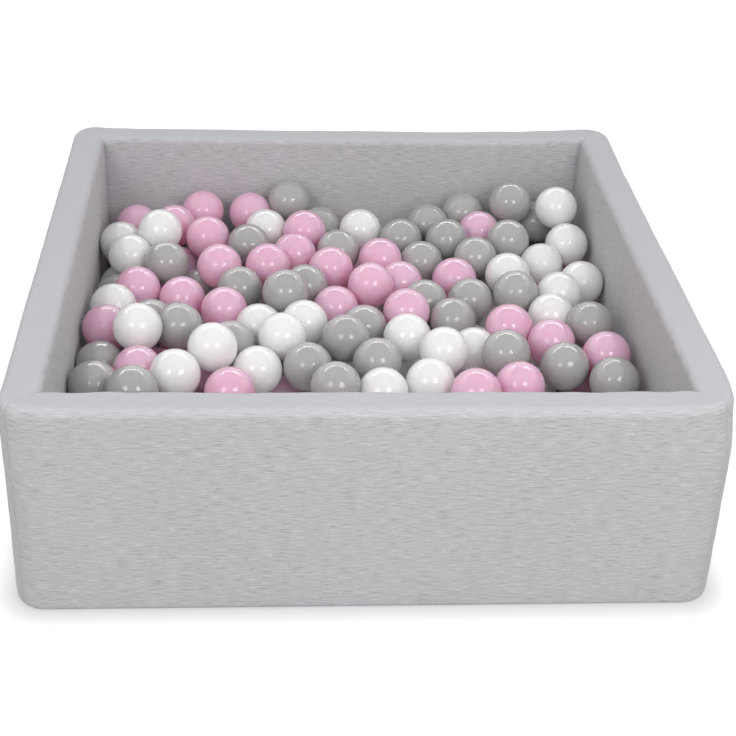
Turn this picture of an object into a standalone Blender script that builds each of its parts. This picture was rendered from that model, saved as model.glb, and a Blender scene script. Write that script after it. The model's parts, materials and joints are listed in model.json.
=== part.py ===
"""Square foam ball pit in a sewn jersey cover, filled with hollow plastic balls.

Frame: the origin lies on the floor under the middle of the pit, +X points to the right and +Y to
the back as seen from the front, and +Z points up. All lengths are in metres.
"""
import functools
import math
from enum import IntEnum

import bmesh
import bpy
import numpy as np
from mathutils import Matrix, Vector

# Outside of the pit, measured over the cover
WIDTH = 0.900
DEPTH = 0.900
HEIGHT = 0.300
WALL = 0.050
CORNER_RADIUS = 0.040
RIM_RADIUS = 0.014
INNER_RIM_RADIUS = 0.009
HEM_RADIUS = 0.007
HEM_LIP = 0.0010

# Cloth, foam and the play between pieces that touch
CLOTH = 0.0015
BASE_FOAM = 0.020
FIT = 0.0003
OVERRUN = 0.010
ROUNDING = 0.00001

# Zip low on the back, with its two tapes, two coils, two stops, slider and pull
ZIP_LENGTH = 0.640
ZIP_LEVEL = 0.032
ZIP_SLOT_MARGIN = 0.0012
TAPE_WIDTH = 0.0125
TAPE_THICKNESS = 0.0006
COIL_WIDTH = 0.0028
COIL_HEIGHT = 0.0022
COIL_SLIT = 0.0014
COIL_ROUNDING = 0.0006
RIB_PITCH = 0.0080
RIB_DEPTH = 0.0005
STOP_LENGTH = 0.0026
SLIDER_LENGTH = 0.0150
SLIDER_PLATE = 0.0012
SLIDER_PLAY = 0.0004
SLIDER_START = 0.0020
BAIL_RADIUS = 0.0008
BAIL_SPAN = 0.0080
BAIL_TURN_SHARE = 1.2
PULL_WIDTH = 0.0050
PULL_LENGTH = 0.0260
PULL_THICKNESS = 0.0012
PULL_EYE_RADIUS = 0.0021
PULL_GRIP_WIDTH = 0.0068
ZIP_RECESS_PLAY = 0.0006

# Balls: their diameter, how finely they are rounded, how many are made one by one, and how deep
# the lowest point of a ball that is joined to the bed lies in it
BALL = 0.070
BALL_SPLITS = 2
SINGLE_BALLS = 40
FIRM_SHARE = 0.03

# Where the photograph was taken from, in shares of the pit's width, and how it looks down
EYE_SHARES = (-0.1378, -2.2623, 1.4526)
EYE_TURN = -0.0716
EYE_DIP = 0.5341
EYE_TILT = 0.0370
FOCAL_PIXELS = 1550.7
MIDDLE_PIXEL = 368.0

CORNER_STEPS = 6
RIM_STEPS = 3
HEM_STEPS = 2

SKIN = CLOTH + FIT
FLOOR_LEVEL = CLOTH + FIT + BASE_FOAM + FIT + CLOTH
INNER_X = WIDTH / 2 - WALL
INNER_Y = DEPTH / 2 - WALL


class Level(IntEnum):
    """How deep a ball lies in the heap, as it looks in the photograph."""
    LOW = 0
    MID = 1
    HIGH = 2


LEVEL_SHARES = {Level.LOW: 1.95, Level.MID: 2.20, Level.HIGH: 2.45}
WHITE, PINK, GREY = "white", "pink", "grey"

# Balls that show: pixel column, pixel row, colour, depth in the heap
SEEN_BALLS = (
    (138, 234, PINK, Level.LOW), (183, 231, PINK, Level.LOW), (208, 219, PINK, Level.MID),
    (251, 210, PINK, Level.HIGH), (292, 208, GREY, Level.HIGH), (429, 224, GREY, Level.LOW),
    (462, 217, GREY, Level.MID), (531, 230, GREY, Level.LOW), (508, 210, GREY, Level.HIGH),
    (481, 231, PINK, Level.LOW), (555, 214, WHITE, Level.HIGH), (165, 236, WHITE, Level.MID),
    (317, 235, GREY, Level.LOW), (206, 242, PINK, Level.MID), (268, 235, WHITE, Level.MID),
    (310, 238, PINK, Level.MID), (358, 233, WHITE, Level.MID), (402, 244, GREY, Level.MID),
    (448, 245, GREY, Level.MID), (505, 243, GREY, Level.MID), (567, 246, WHITE, Level.MID),
    (125, 249, WHITE, Level.MID), (244, 252, GREY, Level.MID), (338, 260, GREY, Level.LOW),
    (295, 256, PINK, Level.MID), (135, 264, WHITE, Level.MID), (383, 264, PINK, Level.MID),
    (421, 268, GREY, Level.LOW), (476, 262, GREY, Level.MID), (541, 269, WHITE, Level.MID),
    (171, 269, GREY, Level.MID), (219, 271, PINK, Level.MID), (269, 270, PINK, Level.MID),
    (330, 277, PINK, Level.MID), (400, 290, PINK, Level.LOW), (455, 280, PINK, Level.MID),
    (507, 280, WHITE, Level.LOW), (288, 297, GREY, Level.MID), (309, 297, GREY, Level.LOW),
    (128, 297, GREY, Level.LOW), (122, 310, WHITE, Level.LOW), (138, 294, PINK, Level.MID),
    (185, 304, PINK, Level.MID), (244, 296, GREY, Level.MID), (369, 292, PINK, Level.MID),
    (428, 307, GREY, Level.LOW), (467, 306, GREY, Level.MID), (511, 298, GREY, Level.MID),
    (557, 299, WHITE, Level.LOW), (579, 288, WHITE, Level.MID), (336, 318, PINK, Level.LOW),
    (232, 316, PINK, Level.MID), (262, 327, WHITE, Level.LOW), (300, 323, WHITE, Level.MID),
    (407, 315, PINK, Level.MID), (550, 317, WHITE, Level.MID), (146, 329, GREY, Level.LOW),
    (116, 337, PINK, Level.LOW), (182, 339, GREY, Level.MID), (234, 343, GREY, Level.LOW),
    (364, 332, GREY, Level.LOW), (452, 327, GREY, Level.LOW), (592, 331, GREY, Level.MID),
    (505, 333, PINK, Level.MID), (134, 346, WHITE, Level.MID), (214, 347, WHITE, Level.MID),
    (282, 342, WHITE, Level.MID), (346, 341, GREY, Level.MID), (407, 340, WHITE, Level.MID),
    (474, 365, WHITE, Level.LOW), (505, 358, GREY, Level.MID), (444, 355, WHITE, Level.MID),
    (548, 347, PINK, Level.MID), (603, 360, PINK, Level.MID), (112, 367, GREY, Level.LOW),
    (137, 374, PINK, Level.MID), (181, 373, WHITE, Level.MID), (259, 368, WHITE, Level.MID),
    (308, 371, GREY, Level.MID), (377, 366, GREY, Level.MID), (562, 370, GREY, Level.MID),
    (105, 386, GREY, Level.MID), (130, 400, GREY, Level.MID), (232, 394, PINK, Level.MID),
    (332, 399, GREY, Level.MID), (383, 397, WHITE, Level.MID), (429, 389, WHITE, Level.MID),
    (472, 395, PINK, Level.LOW), (518, 382, PINK, Level.MID), (611, 386, GREY, Level.MID),
)
FILL_COLOURS = (WHITE, GREY, PINK, WHITE, PINK, GREY, WHITE, GREY, PINK, WHITE, GREY)

# How the heap is let settle: number of passes, and the share of each correction made in a pass
SETTLE_PASSES = 420
FREE_PASSES = 40
PUSH_SHARE = 0.30
SIGHT_SHARE = 0.30
SINK_SHARE = 0.002
SEAT_STEP_SHARE = 0.01
HALVINGS = 16
LEAN_TRIES = 6

COLOURS = {
    "jersey": ((0.53, 0.53, 0.54), 0.90, 0.0),
    "foam": ((0.86, 0.82, 0.70), 0.95, 0.0),
    "zip_cloth": ((0.45, 0.45, 0.46), 0.85, 0.0),
    "zip_nylon": ((0.58, 0.58, 0.59), 0.45, 0.0),
    "zip_metal": ((0.62, 0.62, 0.64), 0.30, 1.0),
    WHITE: ((0.84, 0.84, 0.83), 0.25, 0.0),
    PINK: ((0.81, 0.43, 0.61), 0.25, 0.0),
    GREY: ((0.40, 0.40, 0.39), 0.25, 0.0),
}


def clear_scene():
    """Removes every object of the open scene."""
    for old in list(bpy.data.objects):
        bpy.data.objects.remove(old, do_unlink=True)


def new_collection(name):
    """Returns a new collection linked to the scene."""
    group = bpy.data.collections.new(name)
    bpy.context.scene.collection.children.link(group)
    return group


clear_scene()
PARTS = new_collection("ball_pit")
CUTTERS = new_collection("cutters")


def material(name, finish):
    """Returns a material of its own for one piece, in one of the named finishes."""
    colour, roughness, metallic = COLOURS[finish]
    made = bpy.data.materials.new(f"{name}_{finish}")
    made.use_nodes = True
    shader = made.node_tree.nodes["Principled BSDF"]
    shader.inputs["Base Color"].default_value = (*colour, 1.0)
    shader.inputs["Roughness"].default_value = roughness
    shader.inputs["Metallic"].default_value = metallic
    return made


def piece(name, mesh, finish, smooth=True):
    """Links a mesh as a named part with its own material."""
    mesh.name = name
    made = bpy.data.objects.new(name, mesh)
    PARTS.objects.link(made)
    mesh.materials.clear()
    mesh.materials.append(material(name, finish))
    if smooth:
        mesh.shade_smooth()
        mesh.set_sharp_from_angle(angle=math.radians(35))
    return made


def cutter(name, mesh):
    """Links a mesh as a hidden cutter."""
    mesh.name = name
    made = bpy.data.objects.new(name, mesh)
    CUTTERS.objects.link(made)
    made.hide_render = True
    made.display_type = "WIRE"
    return made


def cut(target, tool, operation="DIFFERENCE"):
    """Adds a Boolean modifier that cuts, joins or trims the target with the tool."""
    step = target.modifiers.new(f"{operation.lower()}_{tool.name}"[:60], "BOOLEAN")
    step.operation = operation
    step.solver = "EXACT"
    step.object = tool


def finished_mesh(source):
    """Returns the object's mesh as its modifiers or curve settings make it, in world space."""
    bpy.context.view_layer.update()
    graph = bpy.context.evaluated_depsgraph_get()
    mesh = bpy.data.meshes.new_from_object(source.evaluated_get(graph))
    mesh.transform(source.matrix_world)
    shape = bmesh.new()
    shape.from_mesh(mesh)
    bmesh.ops.remove_doubles(shape, verts=shape.verts, dist=ROUNDING)
    bmesh.ops.recalc_face_normals(shape, faces=shape.faces)
    shape.to_mesh(mesh)
    shape.free()
    return mesh


def to_mesh(shape):
    """Turns a finished bmesh into a mesh."""
    mesh = bpy.data.meshes.new("shape")
    shape.to_mesh(mesh)
    shape.free()
    return mesh


def box_shape(low, high):
    """Returns a bmesh box between two corners."""
    shape = bmesh.new()
    bmesh.ops.create_cube(shape, size=1.0)
    size = [b - a for a, b in zip(low, high)]
    middle = [(a + b) / 2 for a, b in zip(low, high)]
    bmesh.ops.scale(shape, vec=size, verts=shape.verts)
    bmesh.ops.translate(shape, vec=middle, verts=shape.verts)
    return shape


def round_edges(shape, keep, radius, steps):
    """Rounds the edges whose two end points both pass the test keep(a, b)."""
    edges = [edge for edge in shape.edges if keep(edge.verts[0].co, edge.verts[1].co)]
    bmesh.ops.bevel(shape, geom=edges, offset=radius, offset_type="OFFSET", segments=steps,
                    profile=0.5, affect="EDGES", clamp_overlap=True)


def upright(a, b):
    """Tells whether an edge stands upright."""
    return abs(a.x - b.x) < FIT and abs(a.y - b.y) < FIT


def on_level(level):
    """Returns a test for edges that lie on a level."""
    return lambda a, b: abs(a.z - level) < FIT and abs(b.z - level) < FIT


def rounded_block(inset, low, high, top_radius, bottom_radius):
    """Block over the pit's outline, drawn in by inset, with rounded corners and edges."""
    shape = box_shape((inset - WIDTH / 2, inset - DEPTH / 2, low),
                      (WIDTH / 2 - inset, DEPTH / 2 - inset, high))
    round_edges(shape, upright, CORNER_RADIUS - inset, CORNER_STEPS)
    if top_radius > 0:
        round_edges(shape, on_level(high), top_radius, RIM_STEPS)
    if bottom_radius > 0:
        round_edges(shape, on_level(low), bottom_radius, HEM_STEPS)
    return to_mesh(shape)


def well_shape(grow, low):
    """Square well that widens in a quarter round at the rim, larger all round by grow."""
    radius = INNER_RIM_RADIUS - grow
    spring = HEIGHT - grow - radius
    shape = box_shape((-INNER_X - grow, -INNER_Y - grow, low), (INNER_X + grow, INNER_Y + grow, spring))
    levels = []
    for step in range(1, RIM_STEPS + 1):
        turn = math.pi / 2 * step / RIM_STEPS
        levels.append((radius * (1 - math.cos(turn)), spring + radius * math.sin(turn)))
    levels.append((radius, HEIGHT + OVERRUN))
    top = [face for face in shape.faces if face.normal.z > 0.5]
    for flare, level in levels:
        raised = bmesh.ops.extrude_face_region(shape, geom=top)["geom"]
        bmesh.ops.delete(shape, geom=[face for face in top if face.is_valid], context="FACES")
        top = [item for item in raised if isinstance(item, bmesh.types.BMFace)]
        for vert in top[0].verts:
            vert.co.x = math.copysign(INNER_X + grow + flare, vert.co.x)
            vert.co.y = math.copysign(INNER_Y + grow + flare, vert.co.y)
            vert.co.z = level
    bmesh.ops.recalc_face_normals(shape, faces=shape.faces)
    return to_mesh(shape)


def flat_outline(points, thickness, holes=()):
    """Flat outline in the XY plane as a mesh, thickness upwards from z = 0."""
    curve = bpy.data.curves.new("outline", "CURVE")
    curve.dimensions = "2D"
    curve.fill_mode = "BOTH"
    curve.extrude = thickness / 2
    for loop in (points, *holes):
        spline = curve.splines.new("POLY")
        spline.points.add(len(loop) - 1)
        spline.use_cyclic_u = True
        for point, (x, y) in zip(spline.points, loop):
            point.co = (x, y, 0.0, 1.0)
    guide = bpy.data.objects.new("outline", curve)
    guide.location.z = thickness / 2
    CUTTERS.objects.link(guide)
    mesh = finished_mesh(guide)
    bpy.data.objects.remove(guide)
    return mesh


def arc(centre_x, centre_y, radius, start, end, steps):
    """Points along an arc, with its angles in degrees."""
    turns = [math.radians(start + (end - start) * step / steps) for step in range(steps + 1)]
    return [(centre_x + radius * math.cos(a), centre_y + radius * math.sin(a)) for a in turns]


def mitre_wedge(name, half_length, half_across, turn):
    """Cutter that keeps one wall of the cover, mitred at 45 degrees through both its corners."""
    relief = FIT / math.sqrt(2)
    far = half_across + OVERRUN
    near = half_across - WALL - OVERRUN
    wide = half_length + OVERRUN - relief
    slim = half_length - WALL - OVERRUN - relief
    mesh = flat_outline([(-wide, far), (-slim, near), (slim, near), (wide, far)], HEIGHT + 2 * OVERRUN)
    mesh.transform(Matrix.Rotation(turn, 4, "Z") @ Matrix.Translation((0.0, 0.0, -OVERRUN)))
    return cutter(name, mesh)


SIDES = {
    "back": (WIDTH / 2, DEPTH / 2, 0.0),
    "left": (DEPTH / 2, WIDTH / 2, math.pi / 2),
    "front": (WIDTH / 2, DEPTH / 2, math.pi),
    "right": (DEPTH / 2, WIDTH / 2, -math.pi / 2),
}


def build_cover():
    """Sews the jersey cover: four wall sleeves, the inside floor and the underside."""
    well = cutter("cover_well", well_shape(0.0, -OVERRUN))
    core = cutter("cover_core", rounded_block(CLOTH, CLOTH, HEIGHT - CLOTH, RIM_RADIUS - CLOTH,
                                              HEM_RADIUS - CLOTH))
    cut(core, cutter("core_well", well_shape(CLOTH, -OVERRUN)))
    hem = HEM_RADIUS + HEM_LIP
    opening = cutter("base_opening", rounded_block(hem, -2 * OVERRUN, FLOOR_LEVEL - CLOTH, 0.0, 0.0))
    for side, (half_length, half_across, turn) in SIDES.items():
        mesh = rounded_block(0.0, 0.0, HEIGHT, RIM_RADIUS, HEM_RADIUS)
        panel = piece(f"cover_{side}", mesh, "jersey")
        cut(panel, well)
        cut(panel, core)
        cut(panel, opening)
        cut(panel, mitre_wedge(f"mitre_{side}", half_length, half_across, turn), "INTERSECT")
        if side == "back":
            cut(panel, zip_slot())
    lining = box_shape((FIT - INNER_X, FIT - INNER_Y, FLOOR_LEVEL - CLOTH),
                       (INNER_X - FIT, INNER_Y - FIT, FLOOR_LEVEL))
    piece("cover_floor", to_mesh(lining), "jersey")
    piece("cover_underside", rounded_block(hem + FIT, 0.0, CLOTH, 0.0, 0.0), "jersey")


def foam_wall(name, low, high, well):
    """Foam slab cut from the pit's filling between two corners, rounded as the cover is over it."""
    filling = rounded_block(SKIN, SKIN, HEIGHT - SKIN, RIM_RADIUS - SKIN, HEM_RADIUS - SKIN)
    wall = piece(name, filling, "foam")
    cut(wall, well)
    cut(wall, cutter(f"{name}_bounds", to_mesh(box_shape(low, high))), "INTERSECT")
    return wall


def build_foam():
    """Cuts the four wall slabs and the base pad that stand inside the cover."""
    far_x = WIDTH / 2 + OVERRUN
    far_y = DEPTH / 2 + OVERRUN
    inner_x = INNER_X + SKIN
    inner_y = INNER_Y + SKIN
    side_y = inner_y - FIT
    top = HEIGHT + OVERRUN
    well = cutter("foam_well", well_shape(SKIN, -OVERRUN))
    foam_wall("foam_wall_front", (-far_x, -far_y, -OVERRUN), (far_x, -inner_y, top), well)
    back = foam_wall("foam_wall_back", (-far_x, inner_y, -OVERRUN), (far_x, far_y, top), well)
    cut(back, zip_recess())
    foam_wall("foam_wall_left", (-far_x, -side_y, -OVERRUN), (0.0, side_y, top), well)
    foam_wall("foam_wall_right", (0.0, -side_y, -OVERRUN), (far_x, side_y, top), well)
    pad = box_shape((FIT - inner_x, FIT - inner_y, SKIN), (inner_x - FIT, inner_y - FIT, SKIN + BASE_FOAM))
    piece("foam_base_pad", to_mesh(pad), "foam")


COVER_INSIDE = DEPTH / 2 - CLOTH
TAPE_FRONT = COVER_INSIDE - FIT
TAPE_BACK = TAPE_FRONT - TAPE_THICKNESS
COIL_BACK = TAPE_FRONT + FIT
COIL_FRONT = COIL_BACK + COIL_HEIGHT
COIL_HALF = COIL_SLIT / 2 + COIL_WIDTH
SLIDER_HALF = COIL_HALF + SLIDER_PLAY + SLIDER_PLATE
PLATE_FRONT = COIL_FRONT + SLIDER_PLAY + SLIDER_PLATE
PLATE_BACK = TAPE_BACK - SLIDER_PLAY - SLIDER_PLATE
SLOT_HALF = SLIDER_HALF + ZIP_SLOT_MARGIN
BAIL_DEPTH = PLATE_FRONT + PULL_EYE_RADIUS + SLIDER_PLAY
SLIDER_X = ZIP_LENGTH / 2 - STOP_LENGTH - SLIDER_START - SLIDER_LENGTH / 2


def stadium(length, half_height, thickness):
    """Long slot with round ends, lying along X, as a mesh."""
    reach = length / 2 - half_height
    points = arc(reach, 0.0, half_height, -90, 90, CORNER_STEPS)
    points += arc(-reach, 0.0, half_height, 90, 270, CORNER_STEPS)
    return flat_outline(points, thickness)


def stand_up(mesh, front):
    """Stands a flat outline up along the back wall at the zip's height, ending at y = front."""
    mesh.transform(Matrix.Translation((0.0, front, ZIP_LEVEL)) @ Matrix.Rotation(math.pi / 2, 4, "X"))
    return mesh


def zip_slot():
    """Cutter for the slot in the back sleeve through which the zip shows."""
    length = ZIP_LENGTH + 2 * SLOT_HALF
    mesh = stadium(length, SLOT_HALF, CLOTH + 2 * OVERRUN)
    return cutter("zip_slot", stand_up(mesh, DEPTH / 2 + OVERRUN))


def zip_recess():
    """Cutter for the shallow groove that the zip presses into the back foam."""
    half_height = TAPE_WIDTH + COIL_SLIT / 2 + ZIP_RECESS_PLAY
    depth = DEPTH / 2 - PLATE_BACK + ZIP_RECESS_PLAY
    length = ZIP_LENGTH + 2 * half_height
    mesh = stadium(length, half_height, depth + OVERRUN)
    return cutter("zip_recess", stand_up(mesh, DEPTH / 2 + OVERRUN))


def zip_strip(name, low_z, high_z, back, front, finish):
    """Flat strip along the whole zip."""
    half = ZIP_LENGTH / 2
    shape = box_shape((-half, back, ZIP_LEVEL + low_z), (half, front, ZIP_LEVEL + high_z))
    return piece(name, to_mesh(shape), finish)


def zip_coil(name, side):
    """Nylon coil sewn along a tape: a bead with a rib at each turn that shows on its outer edge."""
    half = ZIP_LENGTH / 2 - STOP_LENGTH - FIT
    near = side * COIL_SLIT / 2
    far = side * COIL_HALF
    count = int(2 * half / RIB_PITCH)
    step = 2 * half / count
    edge = [(-half, far)]
    for rib in range(count):
        start = -half + rib * step
        edge += [(start + step / 2, far - side * RIB_DEPTH), (start + step, far)]
    points = [(-half, near), *edge, (half, near)]
    mesh = flat_outline(points, COIL_HEIGHT)
    return piece(name, stand_up(mesh, COIL_FRONT), "zip_nylon", smooth=False)


def build_zip():
    """Makes the zip: tapes, coils, stops, and the slider with its pull."""
    inner = COIL_SLIT / 2
    outer = inner + TAPE_WIDTH
    zip_strip("zip_tape_upper", inner, outer, TAPE_BACK, TAPE_FRONT, "zip_cloth")
    zip_strip("zip_tape_lower", -outer, -inner, TAPE_BACK, TAPE_FRONT, "zip_cloth")
    zip_coil("zip_coil_upper", 1)
    zip_coil("zip_coil_lower", -1)
    for side, name in ((1, "zip_stop_closed_end"), (-1, "zip_stop_open_end")):
        end = side * ZIP_LENGTH / 2
        near = end - side * STOP_LENGTH
        shape = box_shape((min(near, end), COIL_BACK, ZIP_LEVEL - COIL_HALF),
                          (max(near, end), COIL_FRONT, ZIP_LEVEL + COIL_HALF))
        round_edges(shape, lambda a, b: abs(a.y - COIL_FRONT) < FIT and abs(b.y - COIL_FRONT) < FIT,
                    COIL_ROUNDING, RIM_STEPS)
        piece(name, to_mesh(shape), "zip_metal")
    build_slider()
    build_pull()


def slider_channel(side):
    """Cutter for the channel in which the slider takes one tape's edge and its coil."""
    lip = TAPE_FRONT + SLIDER_PLAY
    divider = side * (COIL_SLIT / 2 - SLIDER_PLAY)
    inside = side * (SLIDER_HALF - SLIDER_PLATE)
    outside = side * (SLIDER_HALF + OVERRUN)
    front_in = PLATE_FRONT - SLIDER_PLATE
    back_in = PLATE_BACK + SLIDER_PLATE
    mesh = flat_outline([(divider, back_in), (outside, back_in), (outside, lip), (inside, lip),
                         (inside, front_in), (divider, front_in)], SLIDER_LENGTH + 2 * OVERRUN)
    # the outline's axes become world Z and Y, and its thickness runs along X
    mesh.transform(Matrix(((0, 0, 1, SLIDER_X - SLIDER_LENGTH / 2 - OVERRUN), (0, 1, 0, 0),
                           (-1, 0, 0, ZIP_LEVEL), (0, 0, 0, 1))))
    return cutter(f"slider_channel_{'lower' if side > 0 else 'upper'}", mesh)


def build_slider():
    """Slider: two plates round the coils, joined by the divider that runs between them."""
    shape = box_shape((SLIDER_X - SLIDER_LENGTH / 2, PLATE_BACK, ZIP_LEVEL - SLIDER_HALF),
                      (SLIDER_X + SLIDER_LENGTH / 2, PLATE_FRONT, ZIP_LEVEL + SLIDER_HALF))
    slider = piece("zip_slider", to_mesh(shape), "zip_metal")
    for side in (1, -1):
        cut(slider, slider_channel(side))
    cut(slider, cutter("slider_bail", bail_mesh()), "UNION")
    place_origin(slider, (SLIDER_X, BAIL_DEPTH, ZIP_LEVEL))


def bail_mesh():
    """Wire arch on the slider's front plate, on which the pull turns."""
    curve = bpy.data.curves.new("bail", "CURVE")
    curve.dimensions = "3D"
    curve.bevel_depth = BAIL_RADIUS
    curve.bevel_resolution = 1
    curve.use_fill_caps = True
    foot = PLATE_FRONT - SLIDER_PLATE / 2
    span = BAIL_SPAN / 2
    turn = BAIL_RADIUS * BAIL_TURN_SHARE
    points = [(-span, foot), (-span, BAIL_DEPTH - turn), (turn - span, BAIL_DEPTH),
              (span - turn, BAIL_DEPTH), (span, BAIL_DEPTH - turn), (span, foot)]
    spline = curve.splines.new("POLY")
    spline.points.add(len(points) - 1)
    for point, (x, y) in zip(spline.points, points):
        point.co = (SLIDER_X + x, y, ZIP_LEVEL, 1.0)
    guide = bpy.data.objects.new("bail", curve)
    CUTTERS.objects.link(guide)
    mesh = finished_mesh(guide)
    bpy.data.objects.remove(guide)
    return mesh


def place_origin(target, point):
    """Moves the object's origin to a point and leaves its shape where it is."""
    target.data.transform(Matrix.Translation(-Vector(point)))
    target.location = point


def build_pull():
    """Pull tab: a rolled eye round the bail and a tab that hangs flat and widens to its grip."""
    eye = PULL_EYE_RADIUS
    half = PULL_THICKNESS / 2
    entry = math.degrees(math.asin(half / eye))
    outline = [(PULL_LENGTH, half), *arc(0.0, 0.0, eye, entry, 360 - entry, 2 * CORNER_STEPS),
               (PULL_LENGTH, -half)]
    hole = arc(0.0, 0.0, BAIL_RADIUS + SLIDER_PLAY, 0, 360, 2 * CORNER_STEPS)[:-1]
    mesh = flat_outline(outline, PULL_WIDTH, holes=(hole,))
    shape = bmesh.new()
    shape.from_mesh(mesh)
    widen = PULL_GRIP_WIDTH / PULL_WIDTH
    for vert in shape.verts:
        if vert.co.x > PULL_LENGTH - FIT:
            vert.co.z = PULL_WIDTH / 2 + (vert.co.z - PULL_WIDTH / 2) * widen
    shape.to_mesh(mesh)
    shape.free()
    # the tab runs down from the eye, and the outline's thickness runs along X
    mesh.transform(Matrix(((0, 0, 1, -PULL_WIDTH / 2), (0, 1, 0, 0), (-1, 0, 0, 0), (0, 0, 0, 1))))
    pull = piece("zip_pull", mesh, "zip_metal")
    pull.location = (SLIDER_X, BAIL_DEPTH, ZIP_LEVEL)


REACH = BALL + FIT
LIMIT = np.array((INNER_X - BALL / 2 - FIT, INNER_Y - BALL / 2 - FIT))
LOWEST = FLOOR_LEVEL + BALL / 2 + FIT


def sight_line(column, row):
    """Eye point and direction of the line of sight through a pixel, in the pit's frame."""
    look = Matrix.Rotation(EYE_TURN, 3, "Z") @ Matrix.Rotation(math.pi / 2 - EYE_DIP, 3, "X")
    look = look @ Matrix.Rotation(EYE_TILT, 3, "Z")
    ray = look @ Vector(((column - MIDDLE_PIXEL) / FOCAL_PIXELS, (MIDDLE_PIXEL - row) / FOCAL_PIXELS, -1.0))
    spread = np.array((WIDTH, DEPTH, (WIDTH + DEPTH) / 2))
    direction = np.array(ray) * spread
    return np.array(EYE_SHARES) * spread, direction / np.linalg.norm(direction)


def lattice(level, shift):
    """Close rows of ball centres over the whole floor, spread to fill it, at one level."""
    row_pitch = REACH * math.sqrt(3) / 2
    rows = int(2 * LIMIT[1] / row_pitch) + 1
    per_row = int(2 * LIMIT[0] / REACH) + 1
    spread = 2 * LIMIT[0] / (per_row - 1)
    centres = []
    for row in range(rows):
        odd = (row + shift) % 2
        for place in range(per_row - odd):
            x = -LIMIT[0] + (place + odd / 2) * spread
            y = -LIMIT[1] + row * 2 * LIMIT[1] / (rows - 1)
            centres.append((x, y, level))
    return centres


def settle(moving, still, eye, lines):
    """Pushes overlapping balls apart while those that show are drawn back to their sight lines."""
    seen = len(lines)
    for turn in range(SETTLE_PASSES):
        everyone = np.vstack((moving, still))
        gap = moving[:, None, :] - everyone[None, :, :]
        distance = np.sqrt((gap ** 2).sum(axis=2))
        np.fill_diagonal(distance, REACH + BALL)
        press = np.clip(REACH + FIT - distance, 0.0, None) / distance
        moving = moving + (gap * press[:, :, None]).sum(axis=1) * PUSH_SHARE
        if turn < SETTLE_PASSES - FREE_PASSES:
            offset = moving[:seen] - eye
            along = (offset * lines).sum(axis=1)[:, None] * lines
            moving[:seen] += (along - offset) * SIGHT_SHARE
            moving[:, 2] -= SINK_SHARE * BALL
        moving[:, :2] = np.clip(moving[:, :2], -LIMIT, LIMIT)
        moving[:, 2] = np.clip(moving[:, 2], LOWEST, None)
    return moving


@functools.cache
def ball_facets():
    """Facet normals of a ball and each facet's distance from the ball's centre."""
    shape = sphere_shape((0.0, 0.0, 0.0), BALL / 2)
    normals = np.array([face.normal for face in shape.faces])
    reaches = np.array([face.normal.dot(face.calc_center_median()) for face in shape.faces])
    shape.free()
    return normals, reaches


def facet_gaps(offsets):
    """Gaps between faceted balls whose centres lie these offsets apart.

    All balls are turned alike and are alike about their centres, so the gap along a facet's normal
    is what the offset measures along it beyond twice that facet's distance from the centre.
    """
    normals, reaches = ball_facets()
    return (offsets @ normals.T - 2 * reaches).max(axis=1)


def seat(centre, placed):
    """Raises or lowers a ball until it just clears the balls already placed and the floor."""
    near = placed[np.hypot(*(placed[:, :2] - centre[:2]).T) < REACH]

    def is_free(level):
        spot = np.array((centre[0], centre[1], level))
        return level >= LOWEST and (((near - spot) ** 2).sum(axis=1) >= REACH ** 2).all()

    step = SEAT_STEP_SHARE * BALL
    level = max(centre[2], LOWEST)
    while not is_free(level):
        level += step
    while is_free(level - step):
        level -= step
    low, high = level - step, level
    for _ in range(HALVINGS):
        middle = (low + high) / 2
        if is_free(middle):
            high = middle
        else:
            low = middle
    return high


def lay_heap():
    """Lays every ball: returns the centres and colours of those that show on top."""
    eye = None
    starts = []
    lines = []
    for column, row, _, depth in SEEN_BALLS:
        eye, line = sight_line(column, row)
        level = FLOOR_LEVEL + LEVEL_SHARES[depth] * BALL
        starts.append(eye + line * (level - eye[2]) / line[2])
        lines.append(line)
    crest = FLOOR_LEVEL + LEVEL_SHARES[Level.MID] * BALL
    front = [centre for centre in lattice(crest, 0) if centre[1] < -LIMIT[1] + REACH]
    bottom = lattice(LOWEST, 0)
    middle = lattice(LOWEST + REACH * math.sqrt(2 / 3), 1)
    moving = settle(np.array(starts + front + middle), np.array(bottom), eye, np.array(lines))
    placed = np.array(bottom)
    for index in np.argsort(moving[:, 2]):
        moving[index, 2] = seat(moving[index], placed)
        placed = np.vstack((placed, moving[index]))
    colours = [colour for _, _, colour, _ in SEEN_BALLS]
    colours += [FILL_COLOURS[place % len(FILL_COLOURS)] for place in range(len(front))]
    return moving[:len(colours)], colours


def sphere_shape(centre, radius):
    """Returns a bmesh ball about a centre."""
    shape = bmesh.new()
    bmesh.ops.create_icosphere(shape, subdivisions=BALL_SPLITS, radius=radius)
    bmesh.ops.translate(shape, vec=centre, verts=shape.verts)
    shape.normal_update()
    return shape


def has_free_sky(centre, others):
    """Tells whether a ball can be lifted straight out without meeting another."""
    offsets = others - centre
    above = (np.hypot(offsets[:, 0], offsets[:, 1]) < REACH) & (offsets[:, 2] > 0)
    return not above.any()


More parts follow.
